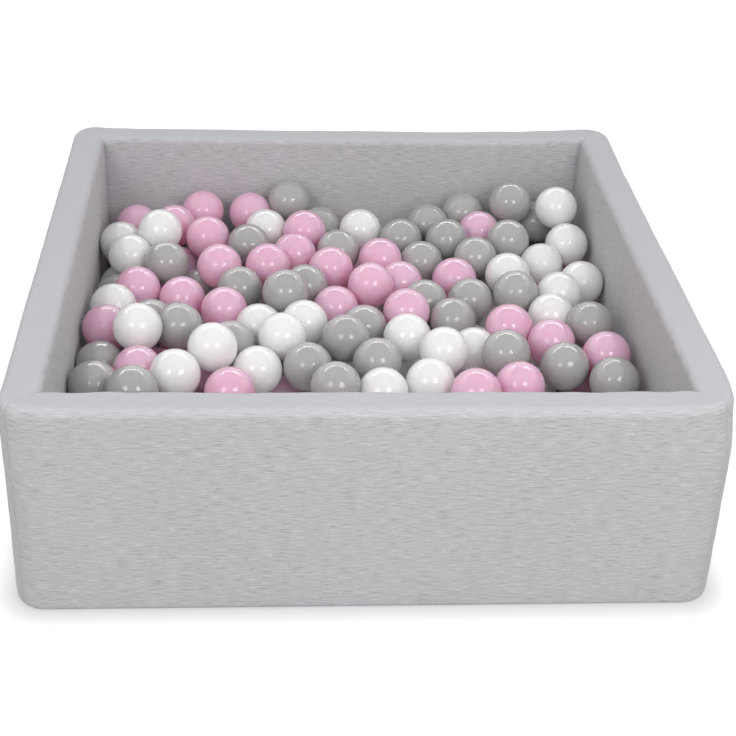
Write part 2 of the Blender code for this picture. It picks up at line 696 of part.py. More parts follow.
def lean(index, top, firm):
    """Moves a ball against the nearest firm neighbour that it can reach with nothing in its way."""
    others = np.delete(top, index, axis=0)
    was_free = has_free_sky(top[index], others)
    offsets = top[firm] - top[index]
    gaps = facet_gaps(offsets)
    for neighbour in np.argsort(gaps)[:LEAN_TRIES]:
        offset = offsets[neighbour]
        way = offset / np.linalg.norm(offset)
        low, high = 0.0, 2 * gaps[neighbour]
        for _ in range(HALVINGS):
            middle = (low + high) / 2
            if facet_gaps((offset - way * middle)[None, :])[0] >= FIT:
                low = middle
            else:
                high = middle
        spot = top[index] + way * low
        is_clear = facet_gaps(others - spot).min() >= FIT - ROUNDING
        is_inside = (np.abs(spot[:2]) <= LIMIT).all()
        if is_clear and is_inside and (has_free_sky(spot, others) or not was_free):
            return spot
    return top[index]


def build_balls():
    """Makes the highest balls one by one, and the balls under and among them as one bed."""
    top, colours = lay_heap()
    by_height = np.argsort(top[:, 2])
    bedded = list(by_height[:-SINGLE_BALLS])
    single = list(by_height[-SINGLE_BALLS:])
    firm = list(bedded)
    for index in single:
        top[index] = lean(index, top, firm)
        firm.append(index)
    crown = top[bedded, 2].max() - BALL / 2 + FIRM_SHARE * BALL
    counts = dict.fromkeys((WHITE, PINK, GREY), 0)
    for index in single:
        colour = colours[index]
        counts[colour] += 1
        mesh = to_mesh(sphere_shape((0.0, 0.0, 0.0), BALL / 2))
        ball = piece(f"ball_{colour}_{counts[colour]:02d}", mesh, colour)
        ball.location = top[index]
    build_bed(top, bedded, single, crown)


def build_bed(top, bedded, single, crown):
    """Joins the balls that stay down: a bed as high as it takes to carry each, and their tops."""
    edge_x = INNER_X - FIT
    edge_y = INNER_Y - FIT
    shape = box_shape((-edge_x, -edge_y, FLOOR_LEVEL + FIT), (edge_x, edge_y, crown))
    bed = piece("lower_balls", to_mesh(shape), GREY)
    for index in single:
        if top[index, 2] - BALL / 2 < crown + FIT:
            cut(bed, cutter(f"pocket_{index}", to_mesh(sphere_shape(top[index], BALL / 2 + FIT))))
    for index in bedded:
        cut(bed, cutter(f"crown_{index}", to_mesh(sphere_shape(top[index], BALL / 2))), "UNION")


build_cover()
build_foam()
build_zip()
build_balls()
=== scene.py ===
"""Square foam ball pit in a heather jersey cover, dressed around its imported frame.

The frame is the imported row's own: metres, +X to the right and +Y to the back as seen from the front,
+Z up, with the origin on the floor under the middle of the pit.
"""
from __future__ import annotations

import json
import logging
import math
from dataclasses import dataclass, field
from enum import Enum, IntEnum
from typing import Optional, Sequence, Union

import bpy
import numpy as np
from mathutils import Matrix, Vector

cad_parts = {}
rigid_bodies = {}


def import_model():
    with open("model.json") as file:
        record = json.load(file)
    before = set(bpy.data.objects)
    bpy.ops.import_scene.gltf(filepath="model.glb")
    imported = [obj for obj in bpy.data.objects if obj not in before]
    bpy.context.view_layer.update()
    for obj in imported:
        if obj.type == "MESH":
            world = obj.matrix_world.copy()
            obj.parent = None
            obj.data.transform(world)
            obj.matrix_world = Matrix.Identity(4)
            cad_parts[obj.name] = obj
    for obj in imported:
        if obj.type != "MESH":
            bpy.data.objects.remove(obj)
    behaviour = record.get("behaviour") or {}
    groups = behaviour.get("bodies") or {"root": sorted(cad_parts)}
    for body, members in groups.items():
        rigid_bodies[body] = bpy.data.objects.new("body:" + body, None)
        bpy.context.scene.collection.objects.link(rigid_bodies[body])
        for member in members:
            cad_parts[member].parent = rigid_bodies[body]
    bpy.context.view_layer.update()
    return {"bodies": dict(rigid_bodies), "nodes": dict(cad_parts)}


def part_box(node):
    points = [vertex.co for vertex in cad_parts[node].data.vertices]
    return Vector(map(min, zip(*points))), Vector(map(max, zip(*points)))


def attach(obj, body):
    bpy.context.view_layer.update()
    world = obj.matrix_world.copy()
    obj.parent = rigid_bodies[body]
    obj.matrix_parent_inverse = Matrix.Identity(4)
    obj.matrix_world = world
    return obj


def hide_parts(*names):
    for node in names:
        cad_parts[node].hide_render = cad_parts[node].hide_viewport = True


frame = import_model()

logging.basicConfig(level=logging.INFO, format="%(message)s")
LOG = logging.getLogger("ball_pit")

PIT_BODY = "pit"
JERSEY_SLOT = "jersey"
WEAVE_MAP = "weave"
# Name of the mask of the painted light on the rim's top
TOP_LIGHT_VALUE = "rub"
TONE_VALUE = "tone"
Triple = tuple[float, float, float]
Colour = Triple
Feed = Union[bpy.types.NodeSocket, bpy.types.NodeTree, float, tuple, str]


class Side(Enum):
    """The four walls, each with the turn about Z that brings the back wall to it, in degrees."""

    BACK = 0.0
    LEFT = 90.0
    FRONT = 180.0
    RIGHT = -90.0


class Shade(Enum):
    """Colours of the moulded balls."""

    WHITE = "white"
    PINK = "pink"
    GREY = "grey"


class Depth(IntEnum):
    """How deep a ball lies in the heap, as it looks in the photograph."""

    LOW = 0
    MID = 1
    HIGH = 2


class Seed(IntEnum):
    """Numbers that fix the random draws."""

    BALLS = 5
    BROAD_UNEVENNESS = 11
    NARROW_UNEVENNESS = 12
    RIM = 13
    CREASES = 17
    LINING = 21
    TAPES = 31


@dataclass(frozen=True)
class PitSizes:
    """Sizes of the pit's walls and floor, in metres.

    They are the CAD source's, but for the outer rim's tighter roll. The sag of the cloth and the least
    radius of a seam are added here.
    """

    width: float = 0.900
    depth: float = 0.900
    height: float = 0.300
    wall: float = 0.050
    corner_radius: float = 0.040
    rim_radius: float = 0.011
    inner_rim_radius: float = 0.009
    hem_radius: float = 0.007
    hem_lip: float = 0.001
    cloth: float = 0.0015
    base_foam: float = 0.020
    play: float = 0.0003
    seam_radius: float = 0.002
    sag: float = 0.0012

    @property
    def inner_x(self) -> float:
        """Half of the well's width."""
        return self.width / 2 - self.wall

    @property
    def inner_y(self) -> float:
        """Half of the well's depth."""
        return self.depth / 2 - self.wall

    @property
    def skin(self) -> float:
        """Distance from the cloth's outer face to the foam."""
        return self.cloth + self.play

    @property
    def floor_level(self) -> float:
        """Height of the lining on which the lowest balls lie."""
        return 2 * self.skin + self.base_foam

    def spans(self, side: Side) -> tuple[float, float]:
        """Half of the pit's size along a wall, and half of it across."""
        along_x = side in (Side.BACK, Side.FRONT)
        return (self.width / 2, self.depth / 2) if along_x else (self.depth / 2, self.width / 2)


SIZES = PitSizes()


# Meshes

def grid_faces(rows: int, columns: int, wrap: bool = False) -> np.ndarray:
    """Quads of a grid of points, facing the way of the rows crossed with the way of the columns.

    Args:
        rows: Number of rows of points.
        columns: Number of points in a row.
        wrap: Whether the last column joins the first.

    Returns:
        Point numbers, four to a face.
    """
    index = np.arange(rows * columns).reshape(rows, columns)
    if wrap:
        index = np.hstack((index, index[:, :1]))
    corners = (index[:-1, :-1], index[1:, :-1], index[1:, 1:], index[:-1, 1:])
    return np.stack(corners, axis=-1).reshape(-1, 4)


def make_piece(name: str, points: np.ndarray, face_sets: Sequence[np.ndarray],
               finish: bpy.types.Material, weave: Optional[np.ndarray] = None,
               values: Optional[dict[str, np.ndarray]] = None) -> bpy.types.Object:
    """Links a mesh object made of whole arrays.

    Args:
        name: Name of the piece.
        points: Places of the points, in metres in the row frame.
        face_sets: Arrays of point numbers, one array for each number of corners.
        finish: Material of the piece.
        weave: Where each point lies on the flat cloth, in metres, for the UV map.
        values: Named numbers of the points, for the material.

    Returns:
        The new object, at the origin, smooth shaded.
    """
    points = points.reshape(-1, 3)
    mesh = bpy.data.meshes.new(name)
    corners = np.concatenate([faces.ravel() for faces in face_sets]).astype(np.int32)
    counts = np.concatenate([np.full(len(faces), faces.shape[1]) for faces in face_sets])
    mesh.vertices.add(len(points))
    mesh.vertices.foreach_set("co", points.astype(np.float32).ravel())
    mesh.loops.add(len(corners))
    mesh.loops.foreach_set("vertex_index", corners)
    mesh.polygons.add(len(counts))
    mesh.polygons.foreach_set("loop_start", (np.cumsum(counts) - counts).astype(np.int32))
    mesh.update(calc_edges=True)
    if weave is not None:
        layer = mesh.uv_layers.new(name=WEAVE_MAP)
        layer.data.foreach_set("uv", weave.reshape(-1, 2)[corners].astype(np.float32).ravel())
    for key, numbers in (values or {}).items():
        store = mesh.attributes.new(key, "FLOAT", "POINT")
        store.data.foreach_set("value", numbers.astype(np.float32).ravel())
    mesh.shade_smooth()
    mesh.materials.append(finish)
    made = bpy.data.objects.new(name, mesh)
    bpy.context.scene.collection.objects.link(made)
    return made


def thicken(piece: bpy.types.Object, thickness: float) -> None:
    """Gives a sheet its thickness behind the face that shows.

    Args:
        piece: The sheet.
        thickness: Its thickness, in metres.
    """
    wall = piece.modifiers.new("cloth_thickness", "SOLIDIFY")
    wall.thickness = thickness
    wall.offset = -1.0


def put(piece: bpy.types.Object, body: str, slot: str, *nodes: str) -> bpy.types.Object:
    """Makes a piece ride on a body and lets it stand for CAD nodes.

    Args:
        piece: The piece.
        body: Body that it rides on.
        slot: Not used.
        nodes: CAD nodes that it replaces.

    Returns:
        The piece.
    """
    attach(piece, body)
    if nodes:
        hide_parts(*nodes)
    LOG.info("%s: %d faces, rides on %s", piece.name, len(piece.data.polygons), body)
    return piece


def ease(value: np.ndarray, low: float, high: float) -> np.ndarray:
    """Goes smoothly from 0 at low to 1 at high: three t squared less two t cubed."""
    share = np.clip((value - low) / (high - low), 0.0, 1.0)
    return share * share * (3 - 2 * share)


def ripple(points: np.ndarray, wavelength: float, seed: int, waves: int = 14) -> np.ndarray:
    """Smooth uneven height, mostly between -1 and 1: a sum of sine waves in drawn directions.

    Args:
        points: Places, in metres.
        wavelength: Usual distance between two crests.
        seed: Number that fixes the draw.
        waves: How many sine waves are summed.

    Returns:
        The height at each place.
    """
    draw = np.random.default_rng(seed)
    ways = draw.normal(size=(waves, points.shape[-1]))
    ways /= np.linalg.norm(ways, axis=1)[:, None]
    pitch = wavelength * draw.uniform(0.6, 1.7, waves)
    phase = draw.uniform(0.0, 2 * math.pi, waves)
    turns = points @ (ways / pitch[:, None]).T * (2 * math.pi) + phase
    return np.sin(turns).sum(axis=-1) / math.sqrt(waves)


def surface_normals(points: np.ndarray) -> np.ndarray:
    """Unit normals of a grid of points: the way of the rows crossed with the way of the columns."""
    normals = np.cross(np.gradient(points, axis=0), np.gradient(points, axis=1))
    return normals / np.maximum(np.linalg.norm(normals, axis=-1), 1e-12)[..., None]


def turned(points: np.ndarray, degrees: float) -> np.ndarray:
    """Turns places about the Z axis."""
    return points @ np.array(Matrix.Rotation(math.radians(degrees), 3, "Z")).T


# Materials

class Wiring:
    """Adds nodes to a material's or a group's tree and joins them."""

    def __init__(self, tree: bpy.types.NodeTree) -> None:
        """Takes the tree to work in."""
        self.tree = tree

    def add(self, kind: str, settings: Optional[dict[str, Feed]] = None,
            **inputs: Feed) -> bpy.types.Node:
        """Adds a node.

        Args:
            kind: Blender's name of the node type.
            settings: Properties to set before the inputs.
            inputs: Socket names, with _ for a space, and a value or a socket for each.

        Returns:
            The new node.
        """
        node = self.tree.nodes.new(kind)
        for name, value in (settings or {}).items():
            setattr(node, name, value)
        for name, value in inputs.items():
            self.feed(node.inputs[name.replace("_", " ")], value)
        return node

    def feed(self, socket: bpy.types.NodeSocket, value: Feed) -> None:
        """Joins a socket to another, or sets its value.

        Args:
            socket: Input to feed.
            value: Socket or value that it gets.
        """
        if isinstance(value, bpy.types.NodeSocket):
            self.tree.links.new(value, socket)
        else:
            socket.default_value = value

    def math(self, operation: str, *values: Feed) -> bpy.types.NodeSocket:
        """Adds a Math node.

        Args:
            operation: Blender's name of the operation.
            values: What goes into it, values or sockets.

        Returns:
            What it puts out.
        """
        node = self.tree.nodes.new("ShaderNodeMath")
        node.operation = operation
        for socket, value in zip(node.inputs, values):
            self.feed(socket, value)
        return node.outputs[0]

    def scaled(self, vector: Feed, scale: Sequence[float],
               turn: float = 0.0) -> bpy.types.NodeSocket:
        """Scales a vector, after a turn about Z in radians."""
        return self.add("ShaderNodeMapping", Vector=vector, Scale=tuple(scale),
                        Rotation=(0.0, 0.0, turn)).outputs[0]

    def noise(self, vector: Feed, scale: Feed, detail: float = 2.0,
              roughness: float = 0.5) -> bpy.types.NodeSocket:
        """Smooth noise from 0 to 1."""
        return self.add("ShaderNodeTexNoise", Vector=vector, Scale=scale, Detail=detail,
                        Roughness=roughness).outputs["Fac"]

    def span(self, value: Feed, low: float, high: float, start: float = 0.0,
             end: float = 1.0) -> bpy.types.NodeSocket:
        """Maps low to start and high to end, smoothly and no further."""
        return self.add("ShaderNodeMapRange", {"interpolation_type": "SMOOTHSTEP"}, Value=value,
                        From_Min=low, From_Max=high, To_Min=start, To_Max=end).outputs[0]

    def blend(self, share: Feed, first: Feed, second: Feed) -> bpy.types.NodeSocket:
        """Mixes two colours.

        Args:
            share: Share of the second colour, a value or a socket.
            first: Colour or socket at share 0.
            second: Colour or socket at share 1.

        Returns:
            The mixed colour.
        """
        node = self.add("ShaderNodeMix", {"data_type": "RGBA"})
        self.feed(node.inputs["Factor"], share)
        for socket, value in ((node.inputs["A"], first), (node.inputs["B"], second)):
            self.feed(socket, (*value, 1.0) if isinstance(value, tuple) else value)
        colours = [socket for socket in node.outputs if socket.type == "RGBA"]
        return colours[0]

    def bump(self, height: Feed, distance: float, strength: float = 1.0,
             normal: Optional[Feed] = None) -> bpy.types.NodeSocket:
        """Turns a height into a bumped normal.

        Args:
            height: Height from 0 to 1.
            distance: How far a height of 1 stands up, in metres.
            strength: Share of the bump that shows.
            normal: Bumped normal below it, or None.

        Returns:
            The bumped normal.
        """
        node = self.add("ShaderNodeBump", Height=height, Distance=distance, Strength=strength)
        if normal is not None:
            self.feed(node.inputs["Normal"], normal)
        return node.outputs[0]

    def group(self, tree: bpy.types.NodeTree, **inputs: Feed) -> bpy.types.Node:
        """Places a node group and sets its inputs.

        Args:
            tree: The group.
            inputs: Socket names, with _ for a space, and a value or a socket for each.

        Returns:
            The group's node.
        """
        node = self.add("ShaderNodeGroup", {"node_tree": tree})
        for name, value in inputs.items():
            self.feed(node.inputs[name.replace("_", " ")], value)
        return node


def start_group(name: str, inputs: dict[str, str],
                outputs: Sequence[str]) -> tuple[Wiring, dict[str, Feed], bpy.types.Node]:
    """Starts a shader node group.

    Args:
        name: Name of the group.
        inputs: Socket names, each with its socket type.
        outputs: Names of the float sockets that it puts out.

    Returns:
        The wiring, the input sockets by name, and the output node.
    """
    tree = bpy.data.node_groups.new(name, "ShaderNodeTree")
    for key, kind in inputs.items():
        tree.interface.new_socket(key, in_out="INPUT", socket_type=kind)
    for key in outputs:
        tree.interface.new_socket(key, in_out="OUTPUT", socket_type="NodeSocketFloat")
    wiring = Wiring(tree)
    source = tree.nodes.new("NodeGroupInput")
    return wiring, {key: source.outputs[key] for key in inputs}, tree.nodes.new("NodeGroupOutput")


def cloudiness_group() -> bpy.types.NodeTree:
    """Slow cloudiness and fine grain, from 0 to 1, that every finish here has in some measure.

    Returns:
        The group.
    """
    inputs = {"Vector": "NodeSocketVector", "Cloud Scale": "NodeSocketFloat",
              "Grain Scale": "NodeSocketFloat"}
    w, given, out = start_group("cloud_and_grain", inputs, ("Cloud", "Grain"))
    w.feed(out.inputs["Cloud"], w.noise(given["Vector"], given["Cloud Scale"], 3.0, 0.55))
    w.feed(out.inputs["Grain"], w.noise(given["Vector"], given["Grain Scale"], 2.0, 0.6))
    return w.tree


def knit_group() -> bpy.types.NodeTree:
    """Loops of a fine knit on a map in metres: how high the yarn stands, and slubs along the rows.

    The loops stand in columns a wale apart. Each column is half a sine wave across, and is crossed by
    legs that slant to both sides of its middle. The slubs are short uneven streaks along the rows,
    which two slow noises shift up and down. Scales are in noise cells for each metre.

    Returns:
        The group.
    """
    slow_cells, fast_cells = (11.0, 16.0, 1.0), (34.0, 60.0, 1.0)
    slow_shift, fast_shift = 0.012, 0.0045
    streak_cells, fleck_cells = (50.0, 610.0, 1.0), (240.0, 1150.0, 1.0)
    leg_height = 0.3
    inputs = {"Vector": "NodeSocketVector", "Wale": "NodeSocketFloat", "Course": "NodeSocketFloat"}
    w, given, out = start_group("heather_knit", inputs, ("Loops", "Streak", "Fleck"))
    place = w.add("ShaderNodeSeparateXYZ", Vector=given["Vector"])
    along, across = place.outputs["X"], place.outputs["Y"]
    column = w.math("DIVIDE", along, given["Wale"])
    leg = w.math("ABSOLUTE", w.math("SUBTRACT", w.math("FRACT", column), 0.5))
    course = w.math("ADD", w.math("DIVIDE", across, given["Course"]), leg)
    ridge = w.math("ABSOLUTE", w.math("SINE", w.math("MULTIPLY", column, math.pi)))
    wave = w.math("SINE", w.math("MULTIPLY", course, 2 * math.pi))
    legs = w.math("ADD", w.math("MULTIPLY", wave, leg_height), 1.0 - leg_height)
    w.feed(out.inputs["Loops"], w.math("MULTIPLY", ridge, legs))
    slow = w.noise(w.scaled(given["Vector"], slow_cells), 1.0, 1.0, 0.5)
    fast = w.noise(w.scaled(given["Vector"], fast_cells), 1.0, 1.0, 0.5)
    shift = w.math("ADD", w.math("MULTIPLY", w.math("SUBTRACT", slow, 0.5), slow_shift),
                   w.math("MULTIPLY", w.math("SUBTRACT", fast, 0.5), fast_shift))
    wavy = w.add("ShaderNodeCombineXYZ", X=along, Y=w.math("ADD", across, shift)).outputs[0]
    w.feed(out.inputs["Streak"], w.noise(w.scaled(wavy, streak_cells), 1.0, 3.0, 0.62))
    w.feed(out.inputs["Fleck"], w.noise(w.scaled(wavy, fleck_cells), 1.0, 1.0, 0.5))
    return w.tree


CLOUD_AND_GRAIN = cloudiness_group()
HEATHER_KNIT = knit_group()


def start_material(name: str) -> tuple[bpy.types.Material, Wiring, bpy.types.Node]:
    """Starts a material.

    Args:
        name: Name of the material.

    Returns:
        The material, its wiring and its shader.
    """
    made = bpy.data.materials.new(name)
    made.use_nodes = True
    return made, Wiring(made.node_tree), made.node_tree.nodes["Principled BSDF"]


def object_place(w: Wiring) -> bpy.types.NodeSocket:
    """Places on the piece itself, in metres."""
    return w.add("ShaderNodeTexCoord").outputs["Object"]


@dataclass(frozen=True)
class Jersey:
    """Heather cotton jersey: mixed light and dark fibres in short streaks, over fine knitted loops.

    On the rim's top the streaks are calmer, and the colour is painted lighter and cooler there: painted
    light from above.
    """

    name: str = "heather_jersey"
    mid: Colour = (0.556, 0.551, 0.572)
    pale: Colour = (0.669, 0.666, 0.692)
    dark: Colour = (0.420, 0.415, 0.442)
    # Painted light: the lighter, cooler colour of the rim's top
    painted_top_light: Colour = (0.570, 0.585, 0.616)
    wale: float = 0.00115
    course: float = 0.00095
    sheen: float = 0.18
    pale_streaks: tuple[float, float] = (0.53, 0.67)
    dark_streaks: tuple[float, float] = (0.48, 0.34)
    top_streak_calm: float = 0.70
    painted_top_light_share: float = 0.6
    fleck_share: float = 0.35
    cloud_share: float = 0.10
    loop_height: float = 0.00016
    fuzz_height: float = 0.0002
    slub_height: float = 0.0006

    def material(self) -> bpy.types.Material:
        """Makes the material, which reads the map called weave and the value called rub.

        Returns:
            The material.
        """
        made, w, shader = start_material(self.name)
        weave = w.add("ShaderNodeUVMap", {"uv_map": WEAVE_MAP}).outputs[0]
        knit = w.group(HEATHER_KNIT, Vector=weave, Wale=self.wale, Course=self.course)
        cloud = w.group(CLOUD_AND_GRAIN, Vector=object_place(w), Cloud_Scale=7.0, Grain_Scale=420.0)
        # Mask of the painted light on the rim's top
        rub = w.add("ShaderNodeAttribute", {"attribute_name": TOP_LIGHT_VALUE}).outputs["Fac"]
        streak = knit.outputs["Streak"]
        calm = w.math("SUBTRACT", 1.0, w.math("MULTIPLY", rub, self.top_streak_calm))
        light = w.math("MULTIPLY", w.span(streak, *self.pale_streaks), calm)
        deep = w.math("MULTIPLY", w.span(streak, *self.dark_streaks), calm)
        colour = w.blend(light, self.mid, self.pale)
        colour = w.blend(deep, colour, self.dark)
        fleck = w.span(knit.outputs["Fleck"], 0.62, 0.74, 0.0, self.fleck_share)
        colour = w.blend(fleck, colour, self.dark)
        clouds = w.span(cloud.outputs["Cloud"], 0.3, 0.7, 0.0, self.cloud_share)
        colour = w.blend(clouds, colour, self.pale)
        # Painted light: the rim's top goes over to the lighter, cooler colour
        colour = w.blend(w.math("MULTIPLY", rub, self.painted_top_light_share), colour, self.painted_top_light)
        w.feed(shader.inputs["Base Color"], colour)
        w.feed(shader.inputs["Roughness"], w.span(cloud.outputs["Grain"], 0.2, 0.8, 0.82, 0.97))
        shader.inputs["Specular IOR Level"].default_value = 0.25
        shader.inputs["Sheen Weight"].default_value = self.sheen
        shader.inputs["Sheen Roughness"].default_value = 0.45
        loops = w.bump(knit.outputs["Loops"], self.loop_height, 0.55)
        fuzz = w.bump(cloud.outputs["Grain"], self.fuzz_height, 0.25, loops)
        w.feed(shader.inputs["Normal"], w.bump(streak, self.slub_height, 0.30, fuzz))
        return made


@dataclass(frozen=True)
class Foam:
    """Open-cell upholstery foam: pale cream with small round pores."""

    name: str = "upholstery_foam"
    colour: Colour = (0.86, 0.82, 0.68)
    # Darker yellow: painted shade in the pores, and the colour of yellowing with age
    pore_shade_and_age: Colour = (0.62, 0.56, 0.40)
    pores_per_metre: float = 900.0
    pore_depth: float = 0.0006
    yellowing: float = 0.25

    def material(self) -> bpy.types.Material:
        """Makes the material: the pores are cells, darker towards their middles.

        Returns:
            The material.
        """
        made, w, shader = start_material(self.name)
        place = object_place(w)
        voronoi = w.add("ShaderNodeTexVoronoi", Vector=place, Scale=self.pores_per_metre)
        cells = voronoi.outputs["Distance"]
        cloud = w.group(CLOUD_AND_GRAIN, Vector=place, Cloud_Scale=9.0, Grain_Scale=300.0)
        # Painted shade: the pores go darker towards their middles, where they are deepest
        colour = w.blend(w.span(cells, 0.42, 0.12), self.colour, self.pore_shade_and_age)
        # Yellowing with age, towards the same darker colour
        aged = w.span(cloud.outputs["Cloud"], 0.35, 0.7, 0.0, self.yellowing)
        w.feed(shader.inputs["Base Color"], w.blend(aged, colour, self.pore_shade_and_age))
        w.feed(shader.inputs["Roughness"], w.span(cloud.outputs["Grain"], 0.2, 0.8, 0.88, 1.0))
        w.feed(shader.inputs["Normal"], w.bump(cells, self.pore_depth, 0.7))
        return made


@dataclass(frozen=True)
class BallPlastic:
    """Thin blow-moulded polyethylene: even colour with a soft gloss, faint cloudiness and light scuffs.

    Light passes through the thin shells, so it goes the depths below the surface in red, green and blue.
    """

    name: str
    colour: Colour
    depths: Colour = (0.050, 0.050, 0.050)
    lift: float = 0.035
    tone_share: float = 0.7
    gloss: tuple[float, float] = (0.09, 0.17)
    scuff_cells: Triple = (260.0, 38.0, 120.0)
    scuff_turn: float = 0.6
    refraction: float = 1.51
    light_through: float = 0.85

    def material(self) -> bpy.types.Material:
        """Makes the material, which reads the value called tone, a little different on each ball.

        Returns:
            The material.
        """
        made, w, shader = start_material(self.name)
        place = object_place(w)
        cloud = w.group(CLOUD_AND_GRAIN, Vector=place, Cloud_Scale=34.0, Grain_Scale=1500.0)
        tone = w.add("ShaderNodeAttribute", {"attribute_name": TONE_VALUE}).outputs["Fac"]
        pale = tuple(min(1.0, value + self.lift) for value in self.colour)
        deep = tuple(value * (1 - self.lift) for value in self.colour)
        share = w.math("ADD", w.math("MULTIPLY", tone, self.tone_share),
                       w.math("MULTIPLY", cloud.outputs["Cloud"], 1.0 - self.tone_share))
        w.feed(shader.inputs["Base Color"], w.blend(share, deep, pale))
        scuffs = w.noise(w.scaled(place, self.scuff_cells, self.scuff_turn), 1.0, 3.0, 0.65)
        w.feed(shader.inputs["Roughness"], w.span(scuffs, 0.45, 0.8, *self.gloss))
        shader.inputs["IOR"].default_value = self.refraction
        shader.inputs["Subsurface Weight"].default_value = self.light_through
        shader.inputs["Subsurface Radius"].default_value = self.depths
        shader.inputs["Subsurface Scale"].default_value = 1.0
        w.feed(shader.inputs["Normal"], w.bump(cloud.outputs["Grain"], 0.00002, 0.25))
        return made


@dataclass(frozen=True)
class Woven:
    """Plain woven polyester, as on a zip's tape and in sewing thread."""

    name: str
    colour: Colour
    pitch: float = 0.0007
    hollow_shade: float = 0.75
    thread_height: float = 0.00015

    def material(self) -> bpy.types.Material:
        """Makes the material: warp and weft as two crossed sine waves on Object coordinates.

        Returns:
            The material.
        """
        made, w, shader = start_material(self.name)
        place = object_place(w)
        split = w.add("ShaderNodeSeparateXYZ", Vector=place)
        turn = 2 * math.pi / self.pitch
        warp = w.math("SINE", w.math("MULTIPLY", split.outputs["X"], turn))
        weft = w.math("SINE", w.math("MULTIPLY", split.outputs["Z"], turn))
        crossed = w.math("MULTIPLY", warp, weft)
        thread = w.math("ADD", w.math("MULTIPLY", crossed, 0.5), 0.5)
        cloud = w.group(CLOUD_AND_GRAIN, Vector=place, Cloud_Scale=40.0, Grain_Scale=900.0)
        # Painted shade: the hollows between the threads are darker
        dark = tuple(self.hollow_shade * value for value in self.colour)
        share = w.math("MULTIPLY", thread, w.span(cloud.outputs["Cloud"], 0.2, 0.8, 0.7, 1.0))
        w.feed(shader.inputs["Base Color"], w.blend(share, dark, self.colour))
        w.feed(shader.inputs["Roughness"], w.span(cloud.outputs["Grain"], 0.2, 0.8, 0.7, 0.9))
        shader.inputs["Sheen Weight"].default_value = 0.1
        w.feed(shader.inputs["Normal"], w.bump(thread, self.thread_height, 0.8))
        return made


@dataclass(frozen=True)
class Nylon:
    """Dyed nylon monofilament of a zip's coil."""

    name: str = "zip_nylon"
    colour: Colour = (0.56, 0.56, 0.57)
    shadow: float = 0.85

    def material(self) -> bpy.types.Material:
        """Makes the material: even colour, a little cloudy, with a satin gloss.

        Returns:
            The material.
        """
        made, w, shader = start_material(self.name)
        cloud = w.group(CLOUD_AND_GRAIN, Vector=object_place(w), Cloud_Scale=60.0, Grain_Scale=1200.0)
        dark = tuple(self.shadow * value for value in self.colour)
        w.feed(shader.inputs["Base Color"], w.blend(cloud.outputs["Cloud"], dark, self.colour))
        w.feed(shader.inputs["Roughness"], w.span(cloud.outputs["Grain"], 0.3, 0.7, 0.32, 0.46))
        return made


@dataclass(frozen=True)
class Nickel:
    """Plated zinc: brushed along its length and rubbed brighter in patches."""

    name: str = "nickel_plating"
    colour: Colour = (0.66, 0.66, 0.67)
    dulled: float = 0.8
    brush_cells: Triple = (150.0, 2600.0, 2600.0)
    brush_depth: float = 0.00003

    def material(self) -> bpy.types.Material:
        """Makes the material: the brushing is noise drawn out along X.

        Returns:
            The material.
        """
        made, w, shader = start_material(self.name)
        place = object_place(w)
        cloud = w.group(CLOUD_AND_GRAIN, Vector=place, Cloud_Scale=120.0, Grain_Scale=2500.0)
        brushed = w.noise(w.scaled(place, self.brush_cells), 1.0, 2.0, 0.6)
        dark = tuple(self.dulled * value for value in self.colour)
        w.feed(shader.inputs["Base Color"], w.blend(cloud.outputs["Cloud"], dark, self.colour))
        shader.inputs["Metallic"].default_value = 1.0
        w.feed(shader.inputs["Roughness"], w.span(brushed, 0.3, 0.7, 0.22, 0.40))
        w.feed(shader.inputs["Normal"], w.bump(brushed, self.brush_depth, 0.4))
        return made


# The cover and what fills it

@dataclass(frozen=True)
class Zip:
    """Sizes of the zip low on the back wall, and where its slot lies."""

    length: float = 0.640
    level: float = 0.032
    tape_width: float = 0.0125
    tape_thickness: float = 0.0006
    coil_width: float = 0.0028
    coil_height: float = 0.0022
    coil_slit: float = 0.0014
    stop_length: float = 0.0026
    slider_plate: float = 0.0012
    slider_play: float = 0.0004
    slot_margin: float = 0.0012
    slot_reach: float = 0.345
    turn_pitch: float = 0.00135
    wire_radius: float = 0.00040
    stitch_pitch: float = 0.0031
    stitch_length: float = 0.0024
    stitch_radius: float = 0.00032
    stitch_set_back: float = 0.0024

    @property
    def slot_half(self) -> float:
        """Half of the slot's height."""
        return (self.coil_slit / 2 + self.coil_width + self.slider_play + self.slider_plate
                + self.slot_margin)


